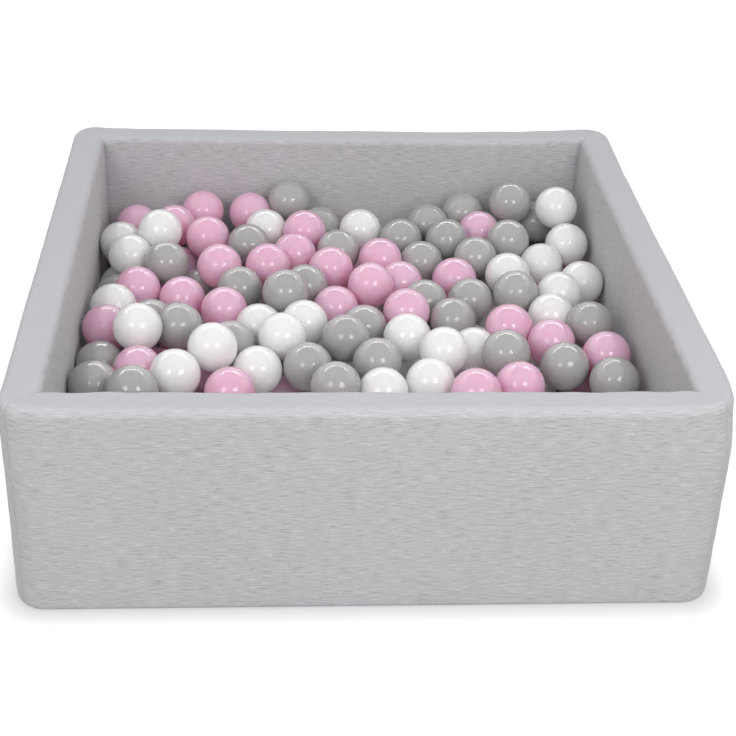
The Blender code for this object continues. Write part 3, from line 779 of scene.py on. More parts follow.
@dataclass
class WallForm:
    """Form of a wall: a cross-section, given by inset and height, carried along the pit's outline.

    The steps are numbers of points: round a quarter circle, below, at and above the zip's slot on the
    outer face, over the top, down the inner face, along the zip and past it, and round half a corner.
    """

    sizes: PitSizes = SIZES
    zip_sizes: Zip = field(default_factory=Zip)
    quarter_steps: int = 9
    below_slot_steps: int = 7
    slot_steps: int = 11
    above_slot_steps: int = 76
    top_steps: int = 15
    inner_steps: int = 58
    zip_steps: int = 81
    zip_end_steps: int = 11
    rest_steps: int = 27
    corner_steps: int = 12
    corner_pull: float = 0.009
    pull_reach: float = 0.060
    pull_from: float = 0.72

    def section(self) -> tuple[np.ndarray, np.ndarray]:
        """Inset and height along the cloth: hem, outer face, rim, top, inner rim, inner face.

        The three turns are quarter circles: the inset goes by the sine and the height by the cosine.

        Returns:
            The insets and the heights.
        """
        s, slot = self.sizes, self.zip_sizes
        quarter = np.linspace(0.0, math.pi / 2, self.quarter_steps)
        low, high = slot.level - slot.slot_half, slot.level + slot.slot_half
        half_turn = np.linspace(0.0, math.pi, self.slot_steps)
        outer_spring = s.height - s.rim_radius
        outer = np.concatenate((np.linspace(s.hem_radius, low, self.below_slot_steps)[1:-1],
                                slot.level - slot.slot_half * np.cos(half_turn),
                                np.linspace(high, outer_spring, self.above_slot_steps)[1:]))
        top = np.linspace(s.rim_radius, s.wall - s.inner_rim_radius, self.top_steps)[1:]
        inner_spring = s.height - s.inner_rim_radius
        inner = np.linspace(inner_spring, s.floor_level - s.cloth, self.inner_steps)[1:]
        inset = np.concatenate(([s.hem_radius + s.hem_lip], s.hem_radius * (1 - np.sin(quarter)),
                                0 * outer, s.rim_radius * (1 - np.cos(quarter[1:])), top,
                                top[-1] + s.inner_rim_radius * np.sin(quarter[1:]),
                                0 * inner + s.wall))
        level = np.concatenate(([0.0], s.hem_radius * (1 - np.cos(quarter)), outer,
                                s.height - s.rim_radius * (1 - np.sin(quarter[1:])),
                                0 * top + s.height,
                                inner_spring + s.inner_rim_radius * np.cos(quarter[1:]), inner))
        return inset, level

    def pulled(self, points: np.ndarray) -> np.ndarray:
        """Draws the front right corner in towards the middle, most at the top: a bell about it.

        Args:
            points: Places in the row frame.

        Returns:
            The places after that.
        """
        s = self.sizes
        off = np.hypot(points[..., 0] - s.width / 2, points[..., 1] + s.depth / 2)
        upper = ease(points[..., 2], self.pull_from * s.height, s.height)
        pull = self.corner_pull * np.exp(-(off / self.pull_reach) ** 2) * upper
        moved = points.copy()
        moved[..., 0] -= pull
        moved[..., 1] += 0.5 * pull
        return moved

    def columns(self, half_length: float) -> tuple[np.ndarray, np.ndarray]:
        """Where the columns of points stand along a wall.

        Args:
            half_length: Half of the pit's size along the wall.

        Returns:
            Shares of the straight run, and turns about the corner in radians from the X axis.
        """
        run = half_length - self.sizes.corner_radius
        slot_end, slot_reach = self.zip_sizes.length / 2, self.zip_sizes.slot_reach
        right = np.concatenate((np.linspace(0.0, slot_end, self.zip_steps),
                                np.linspace(slot_end, slot_reach, self.zip_end_steps)[1:],
                                np.linspace(slot_reach, run, self.rest_steps)[1:])) / run
        straight = np.concatenate((-right[:0:-1], right))
        bend = np.linspace(math.pi / 2, math.pi / 4, self.corner_steps + 1)[1:]
        share = np.concatenate((np.full(len(bend), -1.0), straight, np.full(len(bend), 1.0)))
        turn = np.concatenate((math.pi - bend[::-1], np.full(len(straight), math.pi / 2), bend))
        return share, turn

    def carried(self, side: Side) -> tuple[np.ndarray, np.ndarray]:
        """Carries the section along one side of the outline.

        At an inset the outline is a square drawn in by it, with corners of the corner radius less the
        inset, and a seam's radius at least. A point is the corner's centre plus its radius turned.

        Args:
            side: The side.

        Returns:
            Places of the grid with the wall at the back, and their flat map in metres.
        """
        s = self.sizes
        half_length, half_across = s.spans(side)
        inset, level = (values[:, None] for values in self.section())
        share, turn = self.columns(half_length)
        radius = np.maximum(s.corner_radius - inset, s.seam_radius)
        run = half_length - inset - radius
        x = share * run + radius * np.cos(turn)
        y = half_across - inset - radius + radius * np.sin(turn)
        points = np.stack((x, y, level + 0 * x), axis=-1)
        step = np.hypot(np.diff(inset, axis=0), np.diff(level, axis=0))
        height = np.concatenate(([[0.0]], np.cumsum(step, axis=0))) + 0 * x
        return points, np.stack((share * run + radius * (math.pi / 2 - turn), height), axis=-1)


@dataclass
class JerseyCover:
    """Sewn jersey cover: four wall sleeves, the lining of the floor and the underside.

    Notches and ears have, for each corner by the signs of its x and y, a height and a reach.
    """

    finish: bpy.types.Material
    sizes: PitSizes = SIZES
    form: WallForm = field(default_factory=WallForm)
    unevenness: float = 0.0007
    broad_wavelength: float = 0.16
    narrow_wavelength: float = 0.045
    inner_calm: float = 0.55
    mitre_reach: float = 0.030
    rim_wave: float = 0.0008
    rim_wavelength: float = 0.055
    rim_width: float = 0.006
    groove_depth: float = 0.0022
    groove_width: float = 0.0018
    crease_count: int = 6
    crease_depth: float = 0.00050
    crease_width: float = 0.0018
    # Share of the painted light on the front wall's top
    front_top_light: float = 0.72
    sheet_steps: int = 121
    lining_corner: float = 0.004
    lining_dips: float = 0.0002
    notches: dict[tuple[int, int], tuple[float, float]] = field(default_factory=lambda: {
        (-1, 1): (0.0050, 0.009), (1, -1): (0.0026, 0.007),
        (-1, -1): (0.0012, 0.010), (1, 1): (0.0014, 0.008)})
    ears: dict[tuple[int, int], tuple[float, float]] = field(default_factory=lambda: {
        (-1, 1): (0.0024, 0.050), (1, 1): (0.0070, 0.140),
        (-1, -1): (0.0016, 0.050), (1, -1): (0.0016, 0.050)})

    def build(self) -> None:
        """Builds every panel of the cover."""
        for side in Side:
            self.sleeve(side)
        self.lining()
        self.underside()

    def shape(self, points: np.ndarray, half_length: float, half_across: float,
              turn: float) -> np.ndarray:
        """Gives a wall's cloth its sag, seams, notches, creases and unevenness.

        Args:
            points: Places of the grid, with the wall at the back.
            half_length: Half of the pit's size along the wall.
            half_across: Half of its size across the wall.
            turn: Turn about Z that brings the wall to its side, in degrees.

        Returns:
            The places after that.
        """
        s = self.sizes
        normals = surface_normals(points)
        x, y, z = np.moveaxis(points, -1, 0)
        inset = half_across - y
        to_mitre = np.abs((half_length - np.abs(x)) - inset) / math.sqrt(2)
        real = turned(points, turn)
        upper = ease(z, 0.55 * s.height, s.height)
        away = ease(to_mitre, 0.0, self.mitre_reach)
        dip = s.sag * (1 - (np.abs(x) / half_length) ** 3) * upper * away
        inner_face = ease(inset, 0.72 * s.wall, s.wall)
        broad = 0.55 + 0.45 * ripple(real, self.broad_wavelength, Seed.BROAD_UNEVENNESS)
        narrow = 0.5 + 0.5 * ripple(real * np.array((1.0, 1.0, 2.2)), self.narrow_wavelength,
                                    Seed.NARROW_UNEVENNESS)
        swell = self.unevenness * broad * ease(z, 0.0, 0.02)
        swell += self.unevenness / 2 * narrow * ease(z, 0.0, 0.03)
        swell *= 1 - self.inner_calm * inner_face
        rim = np.exp(-((inset - s.wall + 0.4 * s.inner_rim_radius) / self.rim_width) ** 2)
        rim = rim * ease(z, 0.9 * s.height, s.height)
        lift = self.rim_wave * rim * ripple(real[..., :2], self.rim_wavelength, Seed.RIM) * away
        groove = self.groove_depth * np.exp(-(to_mitre / self.groove_width) ** 2)
        groove = groove * (0.05 + 0.95 * ease(inset, 0.62 * s.wall, 0.92 * s.wall))
        groove = groove * ease(z, 0.0, 0.03)
        creases = self.creases(x, y, z, half_length, half_across)
        shaped = points + normals * (swell - groove - creases)[..., None]
        shaped[..., 2] += lift - dip + self.ear_heights(real)
        shaped[..., 2] -= self.notch_depths(real)
        return shaped

    def ear_heights(self, real: np.ndarray) -> np.ndarray:
        """How far the cloth stands up at each outer corner: a bell about it, at the top only.

        Args:
            real: Places in the row frame.

        Returns:
            The height at each of them.
        """
        s = self.sizes
        height = np.zeros(real.shape[:-1])
        for (side_x, side_y), (rise, reach) in self.ears.items():
            off = np.hypot(real[..., 0] - side_x * s.width / 2, real[..., 1] - side_y * s.depth / 2)
            bell = np.exp(-(off / reach) ** 2)
            height += rise * bell * ease(real[..., 2], 0.8 * s.height, s.height)
        return height

    def notch_depths(self, real: np.ndarray) -> np.ndarray:
        """How far the cloth is drawn down at each inner corner: a bell about the corner's top.

        Args:
            real: Places in the row frame.

        Returns:
            The depth at each of them.
        """
        s = self.sizes
        depth = np.zeros(real.shape[:-1])
        for (side_x, side_y), (fall, reach) in self.notches.items():
            off = np.hypot(real[..., 0] - side_x * s.inner_x, real[..., 1] - side_y * s.inner_y)
            bell = np.exp(-(off / reach) ** 2)
            depth += fall * bell * ease(real[..., 2], 0.8 * s.height, 0.98 * s.height)
        return depth

    def creases(self, x: np.ndarray, y: np.ndarray, z: np.ndarray, half_length: float,
                half_across: float) -> np.ndarray:
        """Fine creases on the top that fan out from the inner corners: a bell across each of them.

        Args:
            x: Places along the wall.
            y: Places across it.
            z: Heights.
            half_length: Half of the pit's size along the wall.
            half_across: Half of its size across the wall.

        Returns:
            How deep the creases are at each place.
        """
        s = self.sizes
        along = np.abs(x) - (half_length - s.wall)
        across = y - (half_across - s.wall)
        to_mitre = np.abs(along - across) / math.sqrt(2)
        depth = np.zeros(x.shape)
        draw = np.random.default_rng(Seed.CREASES)
        for _ in range(self.crease_count):
            bearing = draw.uniform(math.radians(50), math.radians(95))
            start, length = draw.uniform(0.004, 0.012), draw.uniform(0.012, 0.030)
            way = along * math.cos(bearing) + across * math.sin(bearing)
            off = along * math.sin(bearing) - across * math.cos(bearing)
            off = off - draw.uniform(-0.004, 0.003)
            past = (way - start - length / 2) / (length / 2)
            depth += np.exp(-(off / self.crease_width) ** 2 - past ** 2)
        on_top = ease(z, 0.94 * s.height, 0.99 * s.height)
        return self.crease_depth * depth * on_top * ease(to_mitre, 0.0, 0.006)

    def sleeve(self, side: Side) -> None:
        """Builds the sleeve of one wall, with the zip's slot in the back one.

        Args:
            side: The wall's side.
        """
        s = self.sizes
        half_length, half_across = s.spans(side)
        points, weave = self.form.carried(side)
        _, level = self.form.section()
        faces = grid_faces(*points.shape[:2])
        if side is Side.BACK:
            faces = self.open_slot(points, faces)
        shaped = self.shape(points, half_length, half_across, side.value)
        shaped = self.form.pulled(turned(shaped, side.value))
        # Mask of the painted light on the rim's top, which the front wall has less of
        on_top = ease(level, s.height - 0.4 * s.rim_radius, s.height)[:, None] + 0 * points[..., 0]
        rub = on_top * (self.front_top_light if side is Side.FRONT else 1.0)
        name = side.name.lower()
        elsewhere = (2.1 * len(name), 0.0)
        piece = make_piece(f"cover_{name}_jersey", shaped, [faces], self.finish, weave + elsewhere,
                           {TOP_LIGHT_VALUE: rub})
        thicken(piece, s.cloth)
        put(piece, PIT_BODY, JERSEY_SLOT, f"cover_{name}")

    def open_slot(self, points: np.ndarray, faces: np.ndarray) -> np.ndarray:
        """Opens the zip's slot: moves the columns beyond its ends out to half circles.

        Beyond an end, x goes from the half circle's reach at that height to the slot's far column.

        Args:
            points: Places of the grid, with the wall at the back, which are moved.
            faces: Its faces.

        Returns:
            The faces that are left.
        """
        slot, hair = self.form.zip_sizes, 1e-6
        x, z = points[..., 0].copy(), points[..., 2]
        end, far, half = slot.length / 2, slot.slot_reach, slot.slot_half
        off = np.abs(z - slot.level)
        in_band = (off < half + hair) & (points[..., 1] > self.sizes.depth / 2 - hair)
        bulge = np.sqrt(np.clip(half ** 2 - off ** 2, 0.0, None))
        beyond = in_band & (np.abs(x) > end - hair) & (np.abs(x) < far)
        share = (np.abs(x) - end) / (far - end)
        moved = np.sign(x) * (end + bulge + share * (far - end - bulge))
        middle_x = x.reshape(-1)[faces].mean(axis=1)
        middle_z = z.reshape(-1)[faces].mean(axis=1)
        flat_on = in_band.reshape(-1)[faces].all(axis=1)
        points[..., 0] = np.where(beyond, moved, x)
        open_face = flat_on & (np.abs(middle_x) < end) & (np.abs(middle_z - slot.level) < half)
        return faces[~open_face]

    def rounded_sheet(self, half_x: float, half_y: float, radius: float,
                      level: float) -> np.ndarray:
        """Grid over a rectangle with rounded corners.

        In the corner squares, a point at shares p and q goes out by the greater of them, at an angle of
        an eighth of a turn times the lesser over the greater.

        Args:
            half_x: Half of the rectangle along X.
            half_y: Half of it along Y.
            radius: Radius of its corners.
            level: Height of the sheet.

        Returns:
            Places of the grid.
        """
        share = np.linspace(-1.0, 1.0, self.sheet_steps)
        x, y = np.meshgrid(share * half_x, share * half_y, indexing="ij")
        p = np.clip((np.abs(x) - half_x + radius) / radius, 0.0, None)
        q = np.clip((np.abs(y) - half_y + radius) / radius, 0.0, None)
        reach = np.maximum(p, q)
        angle = math.pi / 4 * np.minimum(p, q) / np.maximum(reach, 1e-9)
        angle = np.where(q > p, math.pi / 2 - angle, angle)
        corner = (p > 0) & (q > 0)
        x = np.where(corner, np.sign(x) * (half_x - radius + radius * reach * np.cos(angle)), x)
        y = np.where(corner, np.sign(y) * (half_y - radius + radius * reach * np.sin(angle)), y)
        return np.stack((x, y, level + 0 * x), axis=-1)

    def lining(self) -> None:
        """Builds the lining of the floor, which dips a little between the balls that lie on it."""
        s = self.sizes
        half_x, half_y = s.inner_x - s.play, s.inner_y - s.play
        points = self.rounded_sheet(half_x, half_y, self.lining_corner, s.floor_level)
        points[..., 2] -= self.lining_dips * (1 + ripple(points[..., :2], 0.07, Seed.LINING)) * 0.5
        faces = grid_faces(self.sheet_steps, self.sheet_steps)
        piece = make_piece("lining_jersey", points, [faces], self.finish, points[..., :2] + 5.0,
                           {TOP_LIGHT_VALUE: np.zeros(points.shape[:2])})
        thicken(piece, s.cloth - s.play)
        put(piece, PIT_BODY, JERSEY_SLOT, "cover_floor")

    def underside(self) -> None:
        """Builds the cover's underside, which lies flat on the floor."""
        s = self.sizes
        edge = s.hem_radius + s.hem_lip + s.play
        half_x, half_y = s.width / 2 - edge, s.depth / 2 - edge
        points = self.rounded_sheet(half_x, half_y, s.corner_radius - edge, 0.0)
        faces = grid_faces(self.sheet_steps, self.sheet_steps)[:, ::-1]
        piece = make_piece("underside_jersey", points, [faces], self.finish, points[..., :2] + 9.0,
                           {TOP_LIGHT_VALUE: np.zeros(points.shape[:2])})
        thicken(piece, s.cloth)
        put(piece, PIT_BODY, JERSEY_SLOT, "cover_underside")


@dataclass
class FoamFilling:
    """Four foam slabs and the base pad, cut a little smaller than the cover that holds them."""

    finish: bpy.types.Material
    sizes: PitSizes = SIZES
    zip_sizes: Zip = field(default_factory=Zip)
    relief: float = 0.0005
    edge_radius: float = 0.016
    pad_edge_radius: float = 0.004
    loop_steps: int = 10
    slab_stations: int = 140
    slab_height_steps: int = 70
    pad_stations: int = 60
    pad_height_steps: int = 8
    recess_depth: float = 0.0045

    def build(self) -> None:
        """Builds the slabs and the pad."""
        for side in Side:
            self.slab(side)
        self.pad()

    def loop(self, low: np.ndarray, high: np.ndarray, bottom: float, top: np.ndarray,
             height_steps: int) -> tuple[np.ndarray, np.ndarray]:
        """Rounded rectangle round each station: across from low to high, and up from bottom to top.

        Each corner is a quarter circle about a centre that lies the edge radius inside it.

        Args:
            low: Lesser end across, at each station.
            high: Greater end across.
            bottom: Height of the underside.
            top: Height of the top, at each station.
            height_steps: Number of points up an upright side.

        Returns:
            Places across and heights, a row for each station.
        """
        radius = self.edge_radius
        turn = np.linspace(0.0, math.pi / 2, self.loop_steps)
        rise = np.linspace(0.0, 1.0, height_steps)[1:-1]
        across, up = [], []
        corners = ((1, -1, turn - math.pi / 2), (1, 1, turn), (-1, 1, turn + math.pi / 2),
                   (-1, -1, turn + math.pi))
        for side, start, angle in corners:
            centre_a = (high if side > 0 else low) - side * radius
            centre_u = (top if start > 0 else bottom + 0 * top) - start * radius
            across.append(centre_a + radius * np.cos(angle))
            up.append(centre_u + radius * np.sin(angle))
            if side != start:
                way = rise if side > 0 else rise[::-1]
                across.append((high if side > 0 else low) + 0 * way)
                up.append(bottom + radius + way * (top - bottom - 2 * radius))
        return np.concatenate(across, axis=1), np.concatenate(up, axis=1)

    def capped(self, name: str, rings: np.ndarray) -> bpy.types.Object:
        """Makes a closed piece of rings of points, with a flat cap at each end.

        Args:
            name: Name of the piece.
            rings: Places, a row for each ring.

        Returns:
            The piece.
        """
        stations, count = rings.shape[:2]
        sides = grid_faces(stations, count, wrap=True)[:, ::-1]
        first = np.arange(count)[None, :]
        last = (np.arange(count) + (stations - 1) * count)[None, ::-1]
        return make_piece(name, rings, [sides, first, last], self.finish)

    def slab(self, side: Side) -> None:
        """Builds one wall's slab: long at the front and back, and between those at the sides.

        At a long slab's ends the outer face follows the outline's corner, a quarter circle in plan.

        Args:
            side: The wall's side.
        """
        s = self.sizes
        half_length, half_across = s.spans(side)
        edge = s.skin + self.relief
        long_slab = side in (Side.BACK, Side.FRONT)
        reach = half_length - edge if long_slab else half_length - s.wall + s.skin - 2 * s.play
        x = np.sin(np.linspace(-math.pi / 2, math.pi / 2, self.slab_stations))[:, None] * reach
        radius = s.corner_radius - edge
        past = np.clip(np.abs(x) - (reach - radius), 0.0, radius) if long_slab else 0 * x
        outer = half_across - edge - (radius - np.sqrt(radius ** 2 - past ** 2))
        inner = half_across - s.wall + edge + 0 * x
        near_end = np.clip(np.abs(x) - (reach - self.edge_radius), 0.0, self.edge_radius)
        near_end = near_end if long_slab else 0 * x
        fall = s.sag + self.edge_radius - np.sqrt(self.edge_radius ** 2 - near_end ** 2)
        top = s.height - edge - fall
        across, up = self.loop(inner, outer, edge, top, self.slab_height_steps)
        if side is Side.BACK:
            across -= self.recess(x, across, up, half_across)
        rings = np.stack((x + 0 * across, across, up), axis=-1)
        name = side.name.lower()
        piece = self.capped(f"foam_{name}_slab", WallForm().pulled(turned(rings, side.value)))
        put(piece, PIT_BODY, "foam", f"foam_wall_{name}")

    def recess(self, x: np.ndarray, across: np.ndarray, up: np.ndarray,
               half_across: float) -> np.ndarray:
        """Depth of the groove that the zip presses into the back slab's outer face.

        Args:
            x: Places along the slab.
            across: Places across it.
            up: Heights.
            half_across: Half of the pit's size across the wall.

        Returns:
            The depth at each place.
        """
        z = self.zip_sizes
        facing = across > half_across - 0.3 * self.sizes.wall
        height = ease(np.abs(up - z.level), z.tape_width + 0.004, z.tape_width + 0.001)
        length = ease(np.abs(x), z.length / 2 + 0.018, z.length / 2 + 0.006)
        return self.recess_depth * height * length * facing

    def pad(self) -> None:
        """Builds the base pad, which lies between the four slabs."""
        s = self.sizes
        edge = s.skin + self.relief
        half_x = s.inner_x + s.skin - 2 * s.play
        half_y = s.inner_y + s.skin - 2 * s.play
        x = np.linspace(-half_x, half_x, self.pad_stations)[:, None]
        small = FoamFilling(self.finish, edge_radius=self.pad_edge_radius)
        across, up = small.loop(-half_y + 0 * x, half_y + 0 * x, edge,
                                s.skin + s.base_foam + 0 * x, self.pad_height_steps)
        rings = np.stack((x + 0 * across, across, up), axis=-1)
        piece = self.capped("foam_base_slab", rings)
        put(piece, PIT_BODY, "foam", "foam_base_pad")


# The balls

W, P, G = Shade.WHITE, Shade.PINK, Shade.GREY
LOW, MID, HIGH = Depth.LOW, Depth.MID, Depth.HIGH

# Balls that show, as the CAD source has them: column and row in the picture, colour, depth in the heap
SEEN_BALLS = (
    (138, 234, P, LOW), (183, 231, P, LOW), (208, 219, P, MID), (251, 210, P, HIGH), (292, 208, G, HIGH),
    (429, 224, G, LOW), (462, 217, G, MID), (531, 230, G, LOW), (508, 210, G, HIGH), (481, 231, P, LOW),
    (555, 214, W, HIGH), (165, 236, W, MID), (317, 235, G, LOW), (206, 242, P, MID), (268, 235, W, MID),
    (310, 238, P, MID), (358, 233, W, MID), (402, 244, G, MID), (448, 245, G, MID), (505, 243, G, MID),
    (567, 246, W, MID), (125, 249, W, MID), (244, 252, G, MID), (338, 260, G, LOW), (295, 256, P, MID),
    (135, 264, W, MID), (383, 264, P, MID), (421, 268, G, LOW), (476, 262, G, MID), (541, 269, W, MID),
    (171, 269, G, MID), (219, 271, P, MID), (269, 270, P, MID), (330, 277, P, MID), (400, 290, P, LOW),
    (455, 280, P, MID), (507, 280, W, LOW), (288, 297, G, MID), (309, 297, G, LOW), (128, 297, G, LOW),
    (122, 310, W, LOW), (138, 294, P, MID), (185, 304, P, MID), (244, 296, G, MID), (369, 292, P, MID),
    (428, 307, G, LOW), (467, 306, G, MID), (511, 298, G, MID), (557, 299, W, LOW), (579, 288, W, MID),
    (336, 318, P, LOW), (232, 316, P, MID), (262, 327, W, LOW), (300, 323, W, MID), (407, 315, P, MID),
    (550, 317, W, MID), (146, 329, G, LOW), (116, 337, P, LOW), (182, 339, G, MID), (234, 343, G, LOW),
    (364, 332, G, LOW), (452, 327, G, LOW), (592, 331, G, MID), (505, 333, P, MID), (134, 346, W, MID),
    (214, 347, W, MID), (282, 342, W, MID), (346, 341, G, MID), (407, 340, W, MID), (474, 365, W, LOW),
    (505, 358, G, MID), (444, 355, W, MID), (548, 347, P, MID), (603, 360, P, MID), (112, 367, G, LOW),
    (137, 374, P, MID), (181, 373, W, MID), (259, 368, W, MID), (308, 371, G, MID), (377, 366, G, MID),
    (562, 370, G, MID), (105, 386, G, MID), (130, 400, G, MID), (232, 394, P, MID), (332, 399, G, MID),
    (383, 397, W, MID), (429, 389, W, MID), (472, 395, P, LOW), (518, 382, P, MID), (611, 386, G, MID),
)
FILL_COLOURS = (W, G, P, W, P, G, W, G, P, W, G)

# Deeper balls that show only between others: column and row in the picture, colour
GLIMPSED_BALLS = (
    (235, 232, G), (542, 244, G), (399, 246, G), (195, 270, P), (380, 268, P), (360, 289, P), (434, 280, G),
    (163, 300, P), (213, 301, W), (269, 316, G), (585, 312, W), (320, 347, W), (345, 376, W), (409, 373, W),
    (283, 388, P), (580, 390, P), (395, 292, P),
)


@dataclass(frozen=True)
class Viewpoint:
    """Where the photograph was taken from, in shares of the pit's size, and how it looks down.

    The values written here are the CAD source's, by which the balls are laid. The scene's own camera
    was fitted to the dressed cover and has others. Angles are in radians.
    """

    eye_shares: Triple = (-0.1378, -2.2623, 1.4526)
    turn: float = -0.0716
    dip: float = 0.5341
    tilt: float = 0.0370
    focal_pixels: float = 1550.7
    frame_pixels: float = 736.0
    sensor: float = 36.0

    def rotation(self) -> Matrix:
        """Turn of the camera: about Z, then down, then about its own line of sight."""
        look = Matrix.Rotation(self.turn, 3, "Z") @ Matrix.Rotation(math.pi / 2 - self.dip, 3, "X")
        return look @ Matrix.Rotation(self.tilt, 3, "Z")

    def span(self) -> Triple:
        """What a share of 1 comes to along X, Y and Z."""
        return SIZES.width, SIZES.depth, (SIZES.width + SIZES.depth) / 2

    def eye(self) -> np.ndarray:
        """Place of the camera."""
        return np.array(self.eye_shares) * self.span()

    def sight_line(self, column: float, row: float) -> np.ndarray:
        """Direction of the line of sight through a place in the picture.

        Args:
            column: Its column.
            row: Its row.

        Returns:
            The unit direction.
        """
        middle = self.frame_pixels / 2
        ray = self.rotation() @ Vector(((column - middle) / self.focal_pixels,
                                        (middle - row) / self.focal_pixels, -1.0))
        way = np.array(ray) * self.span()
        return way / np.linalg.norm(way)

    def camera(self) -> None:
        """Makes the camera and makes it the scene's."""
        data = bpy.data.cameras.new("front_view")
        data.sensor_width = self.sensor
        data.lens = self.sensor * self.focal_pixels / self.frame_pixels
        made = bpy.data.objects.new("front_view", data)
        made.matrix_world = Matrix.Translation(Vector(self.eye())) @ self.rotation().to_4x4()
        bpy.context.scene.collection.objects.link(made)
        bpy.context.scene.camera = made


@dataclass
class Heap:
    """Where every ball lies, by the same rule as in the CAD source.

    Balls that overlap push one another apart while those that show are drawn to their lines of
    sight. Then each is lowered, the lowest first, until it lies on others.
    """

    view: Viewpoint = field(default_factory=Viewpoint)
    sizes: PitSizes = SIZES
    ball: float = 0.070
    level_shares: tuple[float, float, float] = (1.95, 2.20, 2.45)
    passes: int = 420
    free_passes: int = 40
    push: float = 0.30
    pull_to_sight: float = 0.30
    sink: float = 0.002
    seat_step: float = 0.01
    halvings: int = 16

    def __post_init__(self) -> None:
        """Works out the least distance of two centres, and the room that centres have."""
        s = self.sizes
        self.reach = self.ball + s.play
        self.limit = np.array((s.inner_x - self.ball / 2 - s.play, s.inner_y - self.ball / 2 - s.play))
        self.lowest = s.floor_level + self.ball / 2 + s.play

    def lattice(self, level: float, shift: int) -> list[Triple]:
        """Close rows of centres over the whole floor, every other row half a ball over.

        Args:
            level: Height of the centres.
            shift: 0 or 1, by which the rows that are half a ball over change places.

        Returns:
            The centres.
        """
        rows = int(2 * self.limit[1] / (self.reach * math.sqrt(3) / 2)) + 1
        per_row = int(2 * self.limit[0] / self.reach) + 1
        spread = 2 * self.limit[0] / (per_row - 1)
        return [(-self.limit[0] + (place + (row + shift) % 2 / 2) * spread,
                 -self.limit[1] + row * 2 * self.limit[1] / (rows - 1), level)
                for row in range(rows) for place in range(per_row - (row + shift) % 2)]

    def settle(self, moving: np.ndarray, still: np.ndarray, lines: np.ndarray) -> np.ndarray:
        """Pushes overlapping balls apart while those that show are drawn back to their sight lines.

        Args:
            moving: Centres that move, those that show first.
            still: Centres that stay.
            lines: Directions of the sight lines.

        Returns:
            The settled centres.
        """
        seen = len(lines)
        for turn in range(self.passes):
            gap = moving[:, None, :] - np.vstack((moving, still))[None, :, :]
            distance = np.sqrt((gap ** 2).sum(axis=2))
            np.fill_diagonal(distance, self.reach + self.ball)
            press = np.clip(self.reach + self.sizes.play - distance, 0.0, None) / distance
            moving = moving + (gap * press[:, :, None]).sum(axis=1) * self.push
            if turn < self.passes - self.free_passes:
                offset = moving[:seen] - self.view.eye()
                along = (offset * lines).sum(axis=1)[:, None] * lines
                moving[:seen] += (along - offset) * self.pull_to_sight
                moving[:, 2] -= self.sink * self.ball
            moving[:, :2] = np.clip(moving[:, :2], -self.limit, self.limit)
            moving[:, 2] = np.clip(moving[:, 2], self.lowest, None)
        return moving

    def seat(self, centre: np.ndarray, placed: np.ndarray) -> float:
        """Finds by halving where a ball just clears the balls already placed and the floor.

        Args:
            centre: The ball's centre, from whose height the search starts.
            placed: Centres of the balls already placed.

        Returns:
            The height of its centre.
        """
        near = placed[np.hypot(*(placed[:, :2] - centre[:2]).T) < self.reach]

        def is_free(level: float) -> bool:
            """Tells whether the ball clears all near ones at this height."""
            apart = ((near - np.array((centre[0], centre[1], level))) ** 2).sum(axis=1)
            return level >= self.lowest and bool((apart >= self.reach ** 2).all())

        step = self.seat_step * self.ball
        level = max(centre[2], self.lowest)
        while not is_free(level):
            level += step
        while is_free(level - step):
            level -= step
        low, high = level - step, level
        for _ in range(self.halvings):
            middle = (low + high) / 2
            low, high = (low, middle) if is_free(middle) else (middle, high)
        return high

    def lay(self) -> tuple[np.ndarray, list[Shade], np.ndarray]:
        """Lays every ball.

        Returns:
            The centres of the balls on top, their colours, and the centres of all those below them.
        """
        eye = self.view.eye()
        lines = np.array([self.view.sight_line(column, row) for column, row, _, _ in SEEN_BALLS])
        shares = np.array([self.level_shares[ball[3]] for ball in SEEN_BALLS])
        levels = self.sizes.floor_level + shares * self.ball
        starts = eye + lines * ((levels - eye[2]) / lines[:, 2])[:, None]
        crest = self.sizes.floor_level + self.level_shares[Depth.MID] * self.ball
        front = [spot for spot in self.lattice(crest, 0) if spot[1] < -self.limit[1] + self.reach]
        bottom = self.lattice(self.lowest, 0)
        middle = self.lattice(self.lowest + self.reach * math.sqrt(2 / 3), 1)
        moving = self.settle(np.vstack((starts, front, middle)), np.array(bottom), lines)
        placed = np.array(bottom)
        for index in np.argsort(moving[:, 2]):
            moving[index, 2] = self.seat(moving[index], placed)
            placed = np.vstack((placed, moving[index]))
        colours = [ball[2] for ball in SEEN_BALLS]
        colours += [FILL_COLOURS[place % len(FILL_COLOURS)] for place in range(len(front))]
        top = len(colours)
        return moving[:top], colours, np.vstack((moving[top:], bottom))


